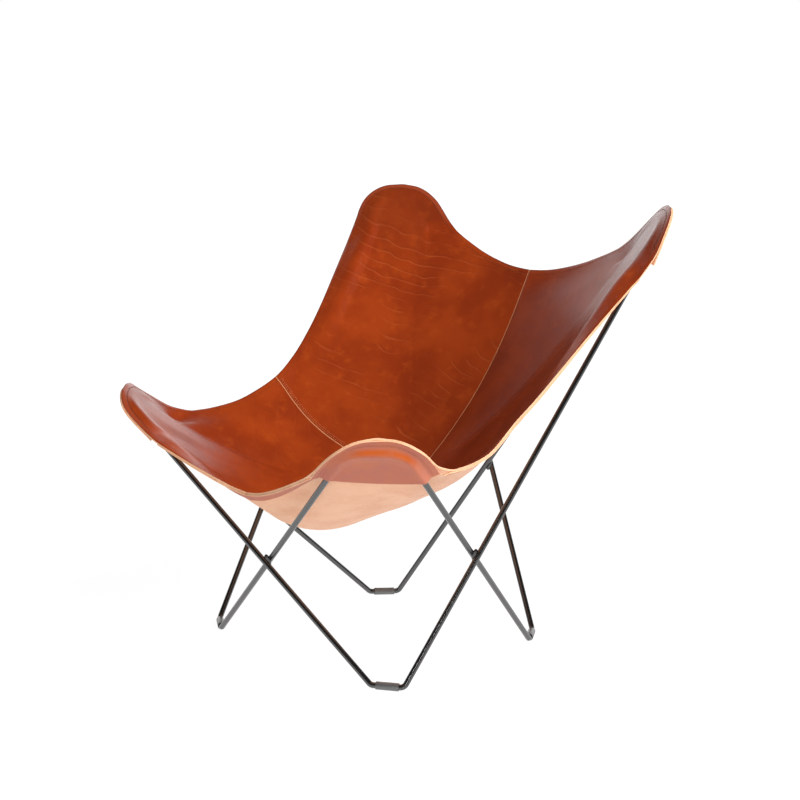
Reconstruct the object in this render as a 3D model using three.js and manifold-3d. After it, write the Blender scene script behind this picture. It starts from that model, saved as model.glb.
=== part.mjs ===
// Butterfly sling chair. Two bent steel rod loops, welded where they cross, carry a leather cover
// that hangs from four corner pockets. Sizes are in millimetres and +Z is up. The front of the seat
// faces -Y, and +X is on the right of someone who looks at the front. The origin is on the floor,
// under the middle of the chair.

import * as THREE from 'three';
import { mergeVertices } from 'three/addons/utils/BufferGeometryUtils.js';
import Module from 'manifold-3d';

const wasm = await Module();
wasm.setup();

// Clearances
const fitGap = 0.3;
const seamGap = 0.6;
const rodEndGap = 1;
const weldPitchGap = 0.9;

// Rod frame
const rodDiameter = 11.5;
const cornerBendRadius = 50;
const footBendRadius = 12;
const footTurnShare = 0.8;
const footFrontX = 252.5;
const footFrontY = 230.5;
const footFrontHeading = 35;
const footBackHeading = 55;
const sideWeldHeight = 244;
const frontCornerX = 356;
const frontCornerY = 376;
const frontCornerHeight = 488;
const frontStretch = 105;
const frontStretchHeading = 133.5;
const backCornerX = 370;
const backCornerY = 388;
const backCornerHeight = 875;
const backStretch = 105;
const backStretchHeading = 136.5;

// Foot sleeves and welds
const sleeveDiameter = 15.6;
const sleeveLength = 45;
const weldReach = 15;
const weldHalfWidth = 9;
const weldThickness = 8;

// Leather cover
const leatherThickness = 3.5;
const rimOffset = 34;
const rimShoulderShare = 0.9;
const rimFold = 6;
const rimDrop = 16;
const rimLift = 6;
const seatCentreY = 45;
const seatCentreZ = 285;
const seatRiseBack = 37;
const seatRiseSide = 25;
const frontEdgeY = 388;
const frontEdgeZ = 362;
const frontEdgeRise = 33;
const frontEdgeLead = 100;
const frontRimLead = 60;
const sideEdgeX = 352;
const sideEdgeY = 8;
const sideEdgeZ = 498;
const sideEdgeRise = 36;
const sideEdgeHeading = 34;
const sideFrontLead = 90;
const sideFrontRimLead = 42;
const sideBackLead = 110;
const sideBackRimLead = 130;
const backEdgeY = 421;
const backEdgeZ = 743;
const backEdgeRise = 69;
const backEdgeLead = 100;
const backRimLead = 60;
const rimTurnIn = 10;
const frontEdgeFlare = 5;
const sideFrontFlare = 15;
const sideBackFlare = -3;
const backEdgeFlare = 19;
const rimFan = 260;
const raySwellShare = 0.95;
const smoothPasses = 10;

// Edge strips under the free edges
const stripWidth = 20;
const stripThickness = 3;
const stripStartShare = 0.06;

// Corner pockets
const pocketThickness = 3;
const pocketDepth = 83;
const pocketBand = 18;
const pocketInset = 12;
const hemDip = 4;

// Facets
const rodSides = 12;
const sleeveSides = 16;
const bendSteps = 5;
const legSteps = 3;
const edgeSteps = 6;
const rayRows = 8;
const wrapSteps = 2;
const fillRows = 3;

// Colours and finishes
const steelFinish = { color: 0x2b2a29, roughness: 0.42, metalness: 0.85 };
const weldFinish = { color: 0x242322, roughness: 0.55, metalness: 0.8 };
const leatherFinish = { color: 0x9a4218, roughness: 0.42, metalness: 0 };
const pocketFinish = { color: 0xa85a3c, roughness: 0.5, metalness: 0 };

// Helpers on points and directions

const up = new THREE.Vector3(0, 0, 1);

function point(x, y, z) {
  return new THREE.Vector3(x, y, z);
}

function step(from, direction, distance) {
  return from.clone().addScaledVector(direction, distance);
}

function toward(from, to) {
  return to.clone().sub(from).normalize();
}

function midpoint(first, second) {
  return first.clone().add(second).multiplyScalar(0.5);
}

function planHeading(degrees) {
  const angle = THREE.MathUtils.degToRad(degrees);
  return point(Math.cos(angle), Math.sin(angle), 0);
}

function risingHeading(plan, degrees) {
  const angle = THREE.MathUtils.degToRad(degrees);
  return plan.clone().setZ(0).normalize().multiplyScalar(Math.cos(angle)).setZ(Math.sin(angle));
}

function smooth(share) {
  return share * share * (3 - 2 * share);
}

// The round of a given radius that joins two straight runs at a corner, as places along it with
// the direction that points out of the round at each
function bend(before, corner, after, radius) {
  const back = toward(corner, before);
  const onward = toward(corner, after);
  const half = back.angleTo(onward) / 2;
  const centre = step(corner, back.clone().add(onward).normalize(), radius / Math.sin(half));
  const from = toward(centre, step(corner, back, radius / Math.tan(half)));
  const to = toward(centre, step(corner, onward, radius / Math.tan(half)));
  const sweep = from.angleTo(to);
  const places = [];
  for (let i = 0; i <= bendSteps; i++) {
    const share = i / bendSteps;
    const outward = from.clone().multiplyScalar(Math.sin((1 - share) * sweep));
    outward.addScaledVector(to, Math.sin(share * sweep)).normalize();
    places.push({ spot: step(centre, outward, radius), outward });
  }
  return places;
}

// Frame layout. One loop is laid out here, and the other is its mirror image. Each loop is shifted
// by the same small amount, so that the rods pass each other where they cross.

const pitch = rodDiameter + weldPitchGap;
const footHeight = sleeveDiameter / 2;
const footReach = sleeveLength / 2 + footBendRadius * footTurnShare;

function layOutLoop() {
  const nearHeading = planHeading(footFrontHeading);
  const farHeading = planHeading(footBackHeading);
  const nearFoot = point(footFrontX, -footFrontY, footHeight);
  const nearInner = step(nearFoot, nearHeading, -footReach);
  const nearOuter = step(nearFoot, nearHeading, footReach);

  const frontMiddle = point(-frontCornerX, -frontCornerY, frontCornerHeight);
  const frontAlong = planHeading(frontStretchHeading);
  const frontNear = step(frontMiddle, frontAlong, -frontStretch / 2);
  const frontFar = step(frontMiddle, frontAlong, frontStretch / 2);

  const backMiddle = point(backCornerX, backCornerY, backCornerHeight);
  const backAlong = planHeading(backStretchHeading);
  const backNear = step(backMiddle, backAlong, -backStretch / 2);
  const backFar = step(backMiddle, backAlong, backStretch / 2);

  const frontLeg = toward(nearInner, frontNear);
  const shift = (pitch / 2) * Math.hypot(frontLeg.y, frontLeg.z) / Math.abs(frontLeg.z);

  // The other loop's front leg leaves its corner, passes the side weld and ends at the floor.
  const backLeg = toward(nearOuter, backNear);
  const weld = step(nearOuter, backLeg, (sideWeldHeight - footHeight) / backLeg.z);
  weld.add(point(shift, -shift, 0));
  const otherCorner = point(-frontFar.x - shift, frontFar.y + shift, frontFar.z);
  const inward = point(-1, 0, 0);
  for (let i = 0; i < bendSteps; i++) {
    inward.crossVectors(backLeg, toward(otherCorner, step(weld, inward, pitch))).normalize();
    inward.multiplyScalar(-Math.sign(inward.x));
  }
  const otherLeg = toward(otherCorner, step(weld, inward, pitch));
  const otherFoot = step(otherCorner, otherLeg, (footHeight - otherCorner.z) / otherLeg.z);
  const farInner = point(-otherFoot.x - shift, otherFoot.y - shift, footHeight);
  const farFoot = step(farInner, farHeading, footReach);
  const farOuter = step(farInner, farHeading, 2 * footReach);

  return {
    shift, nearHeading, farHeading, nearFoot, nearInner, nearOuter, farFoot, farInner, farOuter,
    frontNear, frontFar, backNear, backFar,
  };
}

const layout = layOutLoop();

function place(spot, side) {
  return point(side * (spot.x + layout.shift), spot.y - side * layout.shift, spot.z);
}

function turn(heading, side) {
  return point(side * heading.x, heading.y, heading.z);
}

// One bent rod: up from a foot sleeve, round its corner and down into the other sleeve
function frontRod(side) {
  const gap = rodEndGap / 2;
  return [
    place(step(layout.nearFoot, layout.nearHeading, -gap), side), place(layout.nearInner, side),
    place(layout.frontNear, side), place(layout.frontFar, side), place(layout.farInner, side),
    place(step(layout.farFoot, layout.farHeading, -gap), side),
  ];
}

function backRod(side) {
  const gap = rodEndGap / 2;
  return [
    place(step(layout.nearFoot, layout.nearHeading, gap), side), place(layout.nearOuter, side),
    place(layout.backNear, side), place(layout.backFar, side), place(layout.farOuter, side),
    place(step(layout.farFoot, layout.farHeading, gap), side),
  ];
}

// Rods as round bars swept along their bent centre lines

class BentRod extends THREE.Curve {
  constructor(points) {
    super();
    this.points = points;
  }

  getPoint(share, target = new THREE.Vector3()) {
    const where = share * (this.points.length - 1);
    const index = Math.min(Math.floor(where), this.points.length - 2);
    return target.lerpVectors(this.points[index], this.points[index + 1], where - index);
  }

  getPointAt(share, target) {
    return this.getPoint(share, target);
  }

  getTangentAt(share, target = new THREE.Vector3()) {
    const last = this.points.length - 1;
    const index = Math.round(share * last);
    const before = Math.max(index, 1);
    const after = Math.min(index, last - 1);
    target.copy(toward(this.points[before - 1], this.points[before]));
    return target.add(toward(this.points[after], this.points[after + 1])).normalize();
  }
}

function polygon(radius, sides, firstAngle) {
  const points = [];
  for (let i = 0; i < sides; i++) {
    const angle = firstAngle + (2 * Math.PI * i) / sides;
    points.push(new THREE.Vector2(radius * Math.cos(angle), radius * Math.sin(angle)));
  }
  return points;
}

function rodGeometry(corners) {
  const [start, first, second, third, fourth, end] = corners;
  const bends = [
    bend(start, first, second, footBendRadius), bend(first, second, third, cornerBendRadius),
    bend(second, third, fourth, cornerBendRadius), bend(third, fourth, end, footBendRadius),
  ];
  const points = [start, ...bends.flat().map(({ spot }) => spot), end];
  const section = new THREE.Shape(polygon(rodDiameter / 2, rodSides, 0));
  const path = new BentRod(points);
  return new THREE.ExtrudeGeometry(section, {
    steps: points.length - 1, bevelEnabled: false, extrudePath: path,
  });
}

// A foot sleeve is a short tube over the two rod ends, with one flat of its outside on the floor.
function sleeveGeometry() {
  const half = Math.PI / sleeveSides;
  const flatDown = -Math.PI / 2 - half;
  const outer = sleeveDiameter / 2 / Math.cos(half);
  const inner = (rodDiameter / 2 + fitGap) / Math.cos(half);
  const ring = new THREE.Shape(polygon(outer, sleeveSides, flatDown));
  ring.holes.push(new THREE.Path(polygon(inner, sleeveSides, flatDown)));
  const tube = new THREE.ExtrudeGeometry(ring, { depth: sleeveLength, bevelEnabled: false });
  return tube.translate(0, 0, -sleeveLength / 2);
}

// Solids that are cut

function solidFrom(geometry) {
  const bare = geometry.clone();
  bare.deleteAttribute('normal');
  bare.deleteAttribute('uv');
  const merged = mergeVertices(bare);
  return new wasm.Manifold(new wasm.Mesh({
    numProp: 3,
    vertProperties: new Float32Array(merged.attributes.position.array),
    triVerts: new Uint32Array(merged.index.array),
  }));
}

function geometryFrom(solid) {
  const mesh = solid.getMesh();
  const geometry = new THREE.BufferGeometry();
  geometry.setAttribute('position', new THREE.BufferAttribute(mesh.vertProperties, 3));
  geometry.setIndex(new THREE.BufferAttribute(mesh.triVerts, 1));
  return geometry;
}

function barSolid(from, to, radius) {
  const length = from.distanceTo(to);
  const bar = new THREE.CylinderGeometry(radius, radius, length, rodSides);
  bar.applyQuaternion(new THREE.Quaternion().setFromUnitVectors(
    point(0, 1, 0), toward(from, to)));
  const middle = midpoint(from, to);
  return solidFrom(bar.translate(middle.x, middle.y, middle.z));
}

// The middle of the shortest line between two legs
function crossing(firstFrom, firstTo, secondFrom, secondTo) {
  const firstWay = toward(firstFrom, firstTo);
  const secondWay = toward(secondFrom, secondTo);
  const apart = secondFrom.clone().sub(firstFrom);
  const along = firstWay.dot(secondWay);
  const spread = 1 - along * along;
  const firstRun = (apart.dot(firstWay) - apart.dot(secondWay) * along) / spread;
  const secondRun = (apart.dot(firstWay) * along - apart.dot(secondWay)) / spread;
  return midpoint(step(firstFrom, firstWay, firstRun), step(secondFrom, secondWay, secondRun));
}

// A weld fills the narrow angles between two crossing legs and stays clear of both rods.
function weldGeometry(firstFrom, firstTo, secondFrom, secondTo) {
  const centre = crossing(firstFrom, firstTo, secondFrom, secondTo);
  const firstWay = toward(firstFrom, firstTo);
  const secondWay = toward(secondFrom, secondTo);
  const long = firstWay.clone().add(secondWay).normalize();
  const wide = firstWay.clone().sub(secondWay).normalize();
  const thick = new THREE.Vector3().crossVectors(long, wide);
  const diamond = new THREE.Shape([
    new THREE.Vector2(weldReach, 0), new THREE.Vector2(0, weldHalfWidth),
    new THREE.Vector2(-weldReach, 0), new THREE.Vector2(0, -weldHalfWidth),
  ]);
  const slab = new THREE.ExtrudeGeometry(diamond, { depth: weldThickness, bevelEnabled: false });
  slab.translate(0, 0, -weldThickness / 2);
  slab.applyMatrix4(new THREE.Matrix4().makeBasis(long, wide, thick).setPosition(centre));
  const cut = rodDiameter / 2 + fitGap;
  const firstBar = barSolid(firstFrom, firstTo, cut);
  const secondBar = barSolid(secondFrom, secondTo, cut);
  return geometryFrom(solidFrom(slab).subtract(firstBar).subtract(secondBar));
}

// Cover corners. A corner follows its bent rod. Each station along the rod has a direction that
// points out of the arch and one that points to the seat.

function coverCorner(rod) {
  const [, firstFoot, first, second, secondFoot] = rod;
  const origin = midpoint(first, second);
  const along = toward(first, second);
  const seat = point(0, seatCentreY, seatCentreZ);
  const insideOf = (leg) => {
    const inside = new THREE.Vector3().crossVectors(along, leg).normalize();
    return inside.multiplyScalar(Math.sign(toward(origin, seat).dot(inside)));
  };
  const firstLeg = toward(first, firstFoot);
  const secondLeg = toward(second, secondFoot);
  const firstInside = insideOf(firstLeg);
  const secondInside = insideOf(secondLeg);
  const middleInside = firstInside.clone().add(secondInside).normalize();
  const upward = new THREE.Vector3().crossVectors(middleInside, along).normalize();
  upward.multiplyScalar(Math.sign(upward.z));

  const firstArc = bend(firstFoot, first, second, cornerBendRadius);
  const secondArc = bend(first, second, secondFoot, cornerBendRadius);
  const legPlaces = (corner, leg, arcEnd, inside) => {
    const places = [];
    for (let i = 0; i < legSteps; i++) {
      places.push({ corner, leg, inside, arcEnd, outward: arcEnd.outward, share: i / legSteps });
    }
    return places;
  };
  const stations = [
    ...legPlaces(first, firstLeg, firstArc[0], firstInside),
    ...firstArc.map((place) => ({ ...place, inside: firstInside })),
    ...secondArc.map((place) => ({ ...place, inside: secondInside })),
    ...legPlaces(second, secondLeg, secondArc[bendSteps], secondInside).reverse(),
  ];

  // A place beside the rod, at an offset out of the arch and a height toward the seat. Along the
  // legs the stations are spread from the hem line up to the bend.
  const beside = (station, offset, height) => {
    if (station.spot) {
      return step(step(station.spot, station.outward, offset), station.inside, height);
    }
    const base = step(station.corner, station.outward, offset);
    const rise = base.clone().sub(origin).dot(upward);
    const hem = step(base, station.leg, (-pocketDepth - rise) / station.leg.dot(upward));
    const bendEnd = step(station.arcEnd.spot, station.outward, offset);
    return step(hem.lerp(bendEnd, station.share), station.inside, height);
  };
  return { origin, upward, inside: middleInside, stations, beside };
}

// The rim bends off the rod. Its height changes from the edge on one leg to the edge on the other.
function rimRise(corner, index) {
  const middle = (corner.stations.length - 1) / 2;
  const share = (index - middle) / middle;
  return share < 0 ? -rimDrop * share * share : rimLift * share * share;
}

// How far the rim reaches past the rod, a little less on the shoulders than on the crown
function rimReach(corner, station) {
  const crown = Math.max(0, station.outward.dot(corner.upward));
  return rimOffset * (rimShoulderShare + (1 - rimShoulderShare) * crown);
}

const panelHeight = rodDiameter / 2 + fitGap + leatherThickness / 2;

function rimStation(corner, index) {
  const station = corner.stations[index];
  const reach = rimReach(corner, station);
  const focus = step(corner.origin, corner.upward, -rimFan);
  const fold = corner.beside(station, rimFold, panelHeight);
  const edge = corner.beside(station, reach, panelHeight + rimRise(corner, index));
  return { edge, fold, pull: toward(focus, corner.beside(station, rimFold, 0)) };
}

// The direction in which the rim leaves a corner: down its leg, flaring outward and turning in
function rimExit(station, flareDegrees) {
  const flare = THREE.MathUtils.degToRad(flareDegrees);
  const turnIn = THREE.MathUtils.degToRad(rimTurnIn);
  const way = station.leg.clone().multiplyScalar(Math.cos(flare) * Math.cos(turnIn));
  way.addScaledVector(station.outward, Math.sin(flare) * Math.cos(turnIn));
  return way.addScaledVector(station.inside, Math.sin(turnIn));
}

// A free edge between two known places. The fold beside it and the pull on it turn from those of one
// end to those of the other. The end points themselves are left to the neighbours.
function freeEdge(start, startHandle, end, endHandle, skipStart, skipEnd) {
  const curve = new THREE.CubicBezierCurve3(start.edge, startHandle, endHandle, end.edge);
  const startStrip = start.fold.clone().sub(start.edge);
  const endStrip = end.fold.clone().sub(end.edge);
  const stations = [];
  const first = skipStart ? 1 : 0;
  const last = skipEnd ? edgeSteps - 1 : edgeSteps;
  for (let i = first; i <= last; i++) {
    const share = i / edgeSteps;
    const edge = curve.getPoint(share);
    const fold = startStrip.clone().lerp(endStrip, smooth(share)).add(edge);
    const pull = start.pull.clone().lerp(end.pull, smooth(share)).normalize();
    stations.push({ edge, fold, pull });
  }
  return stations;
}

function middleStation(edge, pull) {
  return { edge, pull, fold: step(edge, pull, rimFold - rimOffset) };
}

// The outline of half the cover, from the middle of the front edge round to the middle of the back
function halfOutline(frontCorner, backCorner, side) {
  const outward = point(side, 0, 0);
  const front = middleStation(
    point(0, -frontEdgeY, frontEdgeZ), risingHeading(point(0, -1, 0), frontEdgeRise));
  const flank = middleStation(
    point(side * sideEdgeX, -sideEdgeY, sideEdgeZ),
    risingHeading(point(side * sideEdgeX, -sideEdgeY - seatCentreY, 0), sideEdgeRise));
  const back = middleStation(
    point(0, backEdgeY, backEdgeZ), risingHeading(point(0, 1, 0), backEdgeRise));
  const frontRim = frontCorner.stations.map((_, i) => rimStation(frontCorner, i));
  const backRim = backCorner.stations.map((_, i) => rimStation(backCorner, i));
  const last = frontRim.length - 1;
  const handle = (corner, rim, index, flare, lead) => {
    return step(rim[index].edge, rimExit(corner.stations[index], flare), lead);
  };
  const flankWay = risingHeading(point(0, 1, 0), sideEdgeHeading);

  const frontEdge = freeEdge(
    front, step(front.edge, outward, frontEdgeLead),
    frontRim[0], handle(frontCorner, frontRim, 0, frontEdgeFlare, frontRimLead), false, true);
  const sideFront = freeEdge(
    frontRim[last], handle(frontCorner, frontRim, last, sideFrontFlare, sideFrontRimLead),
    flank, step(flank.edge, flankWay, -sideFrontLead), true, false);
  const sideBack = freeEdge(
    flank, step(flank.edge, flankWay, sideBackLead),
    backRim[0], handle(backCorner, backRim, 0, sideBackFlare, sideBackRimLead), true, true);
  const backEdge = freeEdge(
    backRim[last], handle(backCorner, backRim, last, backEdgeFlare, backRimLead),
    back, step(back.edge, outward, backEdgeLead), true, false);
  const stations = [
    ...frontEdge, ...frontRim, ...sideFront, ...sideBack, ...backRim, ...backEdge,
  ];
  const frontRimStart = frontEdge.length;
  const frontRimEnd = frontRimStart + last;
  const seam = frontRimEnd + sideFront.length;
  const backRimStart = seam + sideBack.length + 1;
  const backRimEnd = backRimStart + last;
  return { stations, frontRimStart, frontRimEnd, seam, backRimStart, backRimEnd };
}

// Rays of leather from the seat centre to the outline. Each leaves the centre along the seat's
// slope and arrives at the fold along the edge's pull. The last rows are the inner line of an edge
// strip and the edge itself.
function halfSurface(outline, side) {
  const backSlope = Math.tan(THREE.MathUtils.degToRad(seatRiseBack));
  const sideSlope = Math.tan(THREE.MathUtils.degToRad(seatRiseSide));
  const centre = point(0, seatCentreY, seatCentreZ);
  const surface = outline.stations.map(({ edge, fold, pull }) => {
    const plan = fold.clone().sub(centre).setZ(0).normalize();
    const leave = plan.clone().setZ(backSlope * plan.y + sideSlope * side * plan.x).normalize();
    const swell = raySwellShare * fold.distanceTo(centre);
    const ray = [];
    for (let j = 0; j <= rayRows; j++) {
      const t = j / rayRows;
      const spot = centre.clone().multiplyScalar((1 + 2 * t) * (1 - t) ** 2);
      spot.addScaledVector(leave, swell * t * (1 - t) ** 2);
      spot.addScaledVector(fold, t * t * (3 - 2 * t));
      spot.addScaledVector(pull, swell * t * t * (t - 1));
      ray.push(spot);
    }
    ray.push(edge.clone().lerp(fold, stripWidth / edge.distanceTo(fold)), edge);
    return ray;
  });
  return relax(surface);
}

// Evens out each row between the centre and the fold, most near the centre
function relax(surface) {
  let eased = surface;
  for (let pass = 0; pass < smoothPasses; pass++) {
    eased = eased.map((ray, i) => ray.map((spot, j) => {
      if (i === 0 || i === eased.length - 1 || j === 0 || j >= rayRows) {
        return spot;
      }
      return spot.clone().lerp(midpoint(eased[i - 1][j], eased[i + 1][j]), 1 - j / rayRows);
    }));
  }
  return eased;
}

// Sheets. A grid of points, as rows of equal length, becomes a closed solid of one thickness.

function gridNormals(grid, facing) {
  const lastRow = grid.length - 1;
  const lastColumn = grid[0].length - 1;
  return grid.map((row, i) => row.map((_, j) => {
    const alongRows = toward(grid[Math.max(i - 1, 0)][j], grid[Math.min(i + 1, lastRow)][j]);
    const alongColumns = toward(row[Math.max(j - 1, 0)], row[Math.min(j + 1, lastColumn)]);
    const normal = new THREE.Vector3().crossVectors(alongRows, alongColumns).normalize();
    return normal.multiplyScalar(Math.sign(normal.dot(facing)) || 1);
  }));
}

function gridFaces(rows, columns, owner, turned) {
  const faces = [];
  const addFace = (...corners) => {
    const [a, b, c] = corners.map((index) => owner[index]);
    if (a !== b && b !== c && c !== a) {
      faces.push([a, b, c]);
    }
  };
  for (let i = 0; i + 1 < rows; i++) {
    for (let j = 0; j + 1 < columns; j++) {
      const here = i * columns + j;
      const right = here + 1;
      const below = here + columns;
      if (i >= turned.from && i < turned.to) {
        addFace(here, below, right);
        addFace(right, below, below + 1);
      } else {
        addFace(here, below, below + 1);
        addFace(here, below + 1, right);
      }
    }
  }
  return faces;
}

function sheetGeometry(grid, normals, thickness, turned = { from: 0, to: 0 }) {
  const spots = grid.flat();
  const ways = normals.flat();
  const owner = spots.map((spot) => spots.findIndex((other) => other.equals(spot)));
  const faces = gridFaces(grid.length, grid[0].length, owner, turned);
  const probe = faces[Math.floor(faces.length / 2)];
  const [a, b, c] = probe.map((index) => spots[index]);
  const reversed = b.clone().sub(a).cross(c.clone().sub(a)).dot(ways[probe[0]]) < 0;
  const upper = reversed ? faces.map(([p, q, r]) => [p, r, q]) : faces;
  const edges = new Set(upper.flatMap(([p, q, r]) => [`${p} ${q}`, `${q} ${r}`, `${r} ${p}`]));
  const count = spots.length;
  const triangles = [];
  for (const [p, q, r] of upper) {
    triangles.push(p, q, r, p + count, r + count, q + count);
  }
  for (const edge of edges) {
    const [p, q] = edge.split(' ').map(Number);
    if (!edges.has(`${q} ${p}`)) {
      triangles.push(p, p + count, q, q, p + count, q + count);
    }
  }
  const positions = [];
  for (const way of [thickness / 2, -thickness / 2]) {
    spots.forEach((spot, i) => positions.push(...step(spot, ways[i], way).toArray()));
  }
  const geometry = new THREE.BufferGeometry();
  geometry.setAttribute('position', new THREE.Float32BufferAttribute(positions, 3));
  geometry.setIndex(triangles);
  return geometry;
}

// One half of the cover as a surface with its normals. Both quarter panels are cut from it.
function coverHalf(frontCorner, backCorner, side) {
  const outline = halfOutline(frontCorner, backCorner, side);
  const surface = halfSurface(outline, side);
  const normals = gridNormals(surface, point(0, -1, 1));
  const last = surface.length - 1;
  for (const column of [0, last]) {
    normals[column].forEach((normal) => normal.setX(0).normalize());
  }
  const hub = normals[0][1].clone().add(normals[last][1]).setX(0).normalize();
  normals.forEach((column) => column[0].copy(hub));
  return { outline, surface, normals, side };
}

// Quarter panels part along the centre seam and the cross seam.
function panelGeometries({ outline, surface, normals, side }) {
  const last = surface.length - 1;
  const along = toward(surface[outline.seam][0], surface[outline.seam][rayRows + 2]);
  const across = point(-along.y, along.x, 0).normalize();
  const sideways = point((side * seamGap) / 2, 0, 0);
  const cutPanel = (from, to, seamColumn, backward) => {
    const grid = surface.slice(from, to + 1).map((ray) => ray.map((spot) => spot.clone()));
    const seamShift = across.clone().multiplyScalar(Math.sign(across.y) * backward * (seamGap / 2));
    const centreColumn = seamColumn === 0 ? grid.length - 1 : 0;
    grid[centreColumn].forEach((spot) => spot.add(sideways));
    grid[seamColumn].forEach((spot) => spot.add(seamShift));
    const tip = surface[0][0].clone().add(sideways).add(seamShift);
    grid.forEach((ray) => ray[0].copy(tip));
    return sheetGeometry(grid, normals.slice(from, to + 1), leatherThickness);
  };
  return {
    front: cutPanel(0, outline.seam, outline.seam, -1),
    back: cutPanel(outline.seam, last, 0, 1),
  };
}

// An edge strip lies under the cover along a free edge, from one pocket to the next. Its columns
// follow the cover's columns, and it starts and ends a little way off the pockets.
function stripColumns(half, from, to) {
  const columns = [];
  for (let i = from; i <= to; i++) {
    const spots = half.surface[i].slice(rayRows + 1);
    const normals = half.normals[i].slice(rayRows + 1);
    columns.push({ spots, normals });
  }
  return columns;
}

function blendColumns(first, second, share) {
  return {
    spots: first.spots.map((spot, j) => spot.clone().lerp(second.spots[j], share)),
    normals: first.normals.map((way, j) => way.clone().lerp(second.normals[j], share).normalize()),
  };
}

// The cover's quads are cut along one diagonal. Where a strip runs against the cover's columns, its
// quads are cut along the other one, so that both stay parallel.
function stripGeometry(columns, turned) {
  const last = columns.length - 1;
  const trimmed = [
    blendColumns(columns[0], columns[1], stripStartShare),
    ...columns.slice(1, last),
    blendColumns(columns[last], columns[last - 1], stripStartShare),
  ];
  const depth = (leatherThickness + stripThickness) / 2 + fitGap;
  const grid = trimmed.map(({ spots, normals }) => {
    return spots.map((spot, j) => step(spot, normals[j], -depth));
  });
  const normals = trimmed.map((column) => column.normals);
  return sheetGeometry(grid, normals, stripThickness, turned);
}

// A corner pocket lies under the panel's rim, wraps round the outside of the rod and closes the
// back of the arch down to its hem.
function pocketGeometry(corner) {
  const { stations, beside } = corner;
  const last = stations.length - 1;
  const columns = stations.map((station, i) => {
    return pocketProfile(rimReach(corner, station), rimRise(corner, i))
      .map(([offset, height]) => beside(station, offset, height));
  });
  const left = columns[0][columns[0].length - 1];
  const right = columns[last][columns[last].length - 1];
  const grid = columns.map((column, i) => {
    const inner = column[column.length - 1];
    const across = i / last;
    const hem = left.clone().lerp(right, across);
    hem.addScaledVector(corner.upward, -hemDip * 4 * across * (1 - across));
    const fill = [];
    for (let j = 1; j <= fillRows; j++) {
      fill.push(inner.clone().lerp(hem, j / fillRows));
    }
    return [...column, ...fill];
  });
  return sheetGeometry(grid, gridNormals(grid, corner.inside), pocketThickness);
}

// The pocket's middle line across the rod, as offsets and heights: a band that keeps its distance
// under the panel's rim, a round outside the rod and a flat behind it
function pocketProfile(reach, rise) {
  const wrap = rodDiameter / 2 + fitGap + pocketThickness / 2;
  const slope = Math.atan2(rise, reach - rimFold);
  const apart = (leatherThickness + pocketThickness) / 2 + fitGap;
  const bandHeight = (offset) => {
    return panelHeight + (offset - rimFold) * Math.tan(slope) - apart / Math.cos(slope);
  };
  const bandEnd = reach - pocketBand;
  const distance = Math.hypot(bandEnd, bandHeight(bandEnd));
  const touch = Math.atan2(bandHeight(bandEnd), bandEnd) - Math.acos(wrap / distance);
  const turnStep = (touch + Math.PI / 2) / wrapSteps;
  const profile = [[reach, bandHeight(reach)], [bandEnd, bandHeight(bandEnd)]];
  for (let i = 0; i < wrapSteps; i++) {
    const angle = touch - (i + 1 / 2) * turnStep;
    const radius = wrap / Math.cos(turnStep / 2);
    profile.push([radius * Math.cos(angle), radius * Math.sin(angle)]);
  }
  return [...profile, [-pocketInset, -wrap]];
}

// Assembly

const chair = new THREE.Group();

function addPiece(name, geometry, finish) {
  const mesh = new THREE.Mesh(geometry, new THREE.MeshStandardMaterial(finish));
  mesh.name = name;
  chair.add(mesh);
  return mesh;
}

function addSleeve(name, foot, heading, side) {
  const sleeve = addPiece(name, sleeveGeometry(), steelFinish);
  const way = turn(heading, side);
  const across = new THREE.Vector3().crossVectors(up, way);
  sleeve.quaternion.setFromRotationMatrix(new THREE.Matrix4().makeBasis(across, up, way));
  sleeve.position.copy(place(foot, side));
}

function addWeld(name, firstRod, firstLeg, secondRod, secondLeg) {
  const [a, b] = firstLeg;
  const [c, d] = secondLeg;
  const geometry = weldGeometry(firstRod[a], firstRod[b], secondRod[c], secondRod[d]);
  addPiece(name, geometry, weldFinish);
}

// The loop with side +1 holds the front left and back right corners, and the other loop the rest.
const rods = {
  frontLeft: frontRod(1), backRight: backRod(1), frontRight: frontRod(-1), backLeft: backRod(-1),
};
addPiece('front_left_rod', rodGeometry(rods.frontLeft), steelFinish);
addPiece('front_right_rod', rodGeometry(rods.frontRight), steelFinish);
addPiece('back_left_rod', rodGeometry(rods.backLeft), steelFinish);
addPiece('back_right_rod', rodGeometry(rods.backRight), steelFinish);

addSleeve('front_right_foot_sleeve', layout.nearFoot, layout.nearHeading, 1);
addSleeve('back_left_foot_sleeve', layout.farFoot, layout.farHeading, 1);
addSleeve('front_left_foot_sleeve', layout.nearFoot, layout.nearHeading, -1);
addSleeve('back_right_foot_sleeve', layout.farFoot, layout.farHeading, -1);

const nearLeg = [1, 2];
const farLeg = [4, 3];
addWeld('front_weld', rods.frontLeft, nearLeg, rods.frontRight, nearLeg);
addWeld('back_weld', rods.backRight, farLeg, rods.backLeft, farLeg);
addWeld('right_weld', rods.backRight, nearLeg, rods.frontRight, farLeg);
addWeld('left_weld', rods.backLeft, nearLeg, rods.frontLeft, farLeg);

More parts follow.
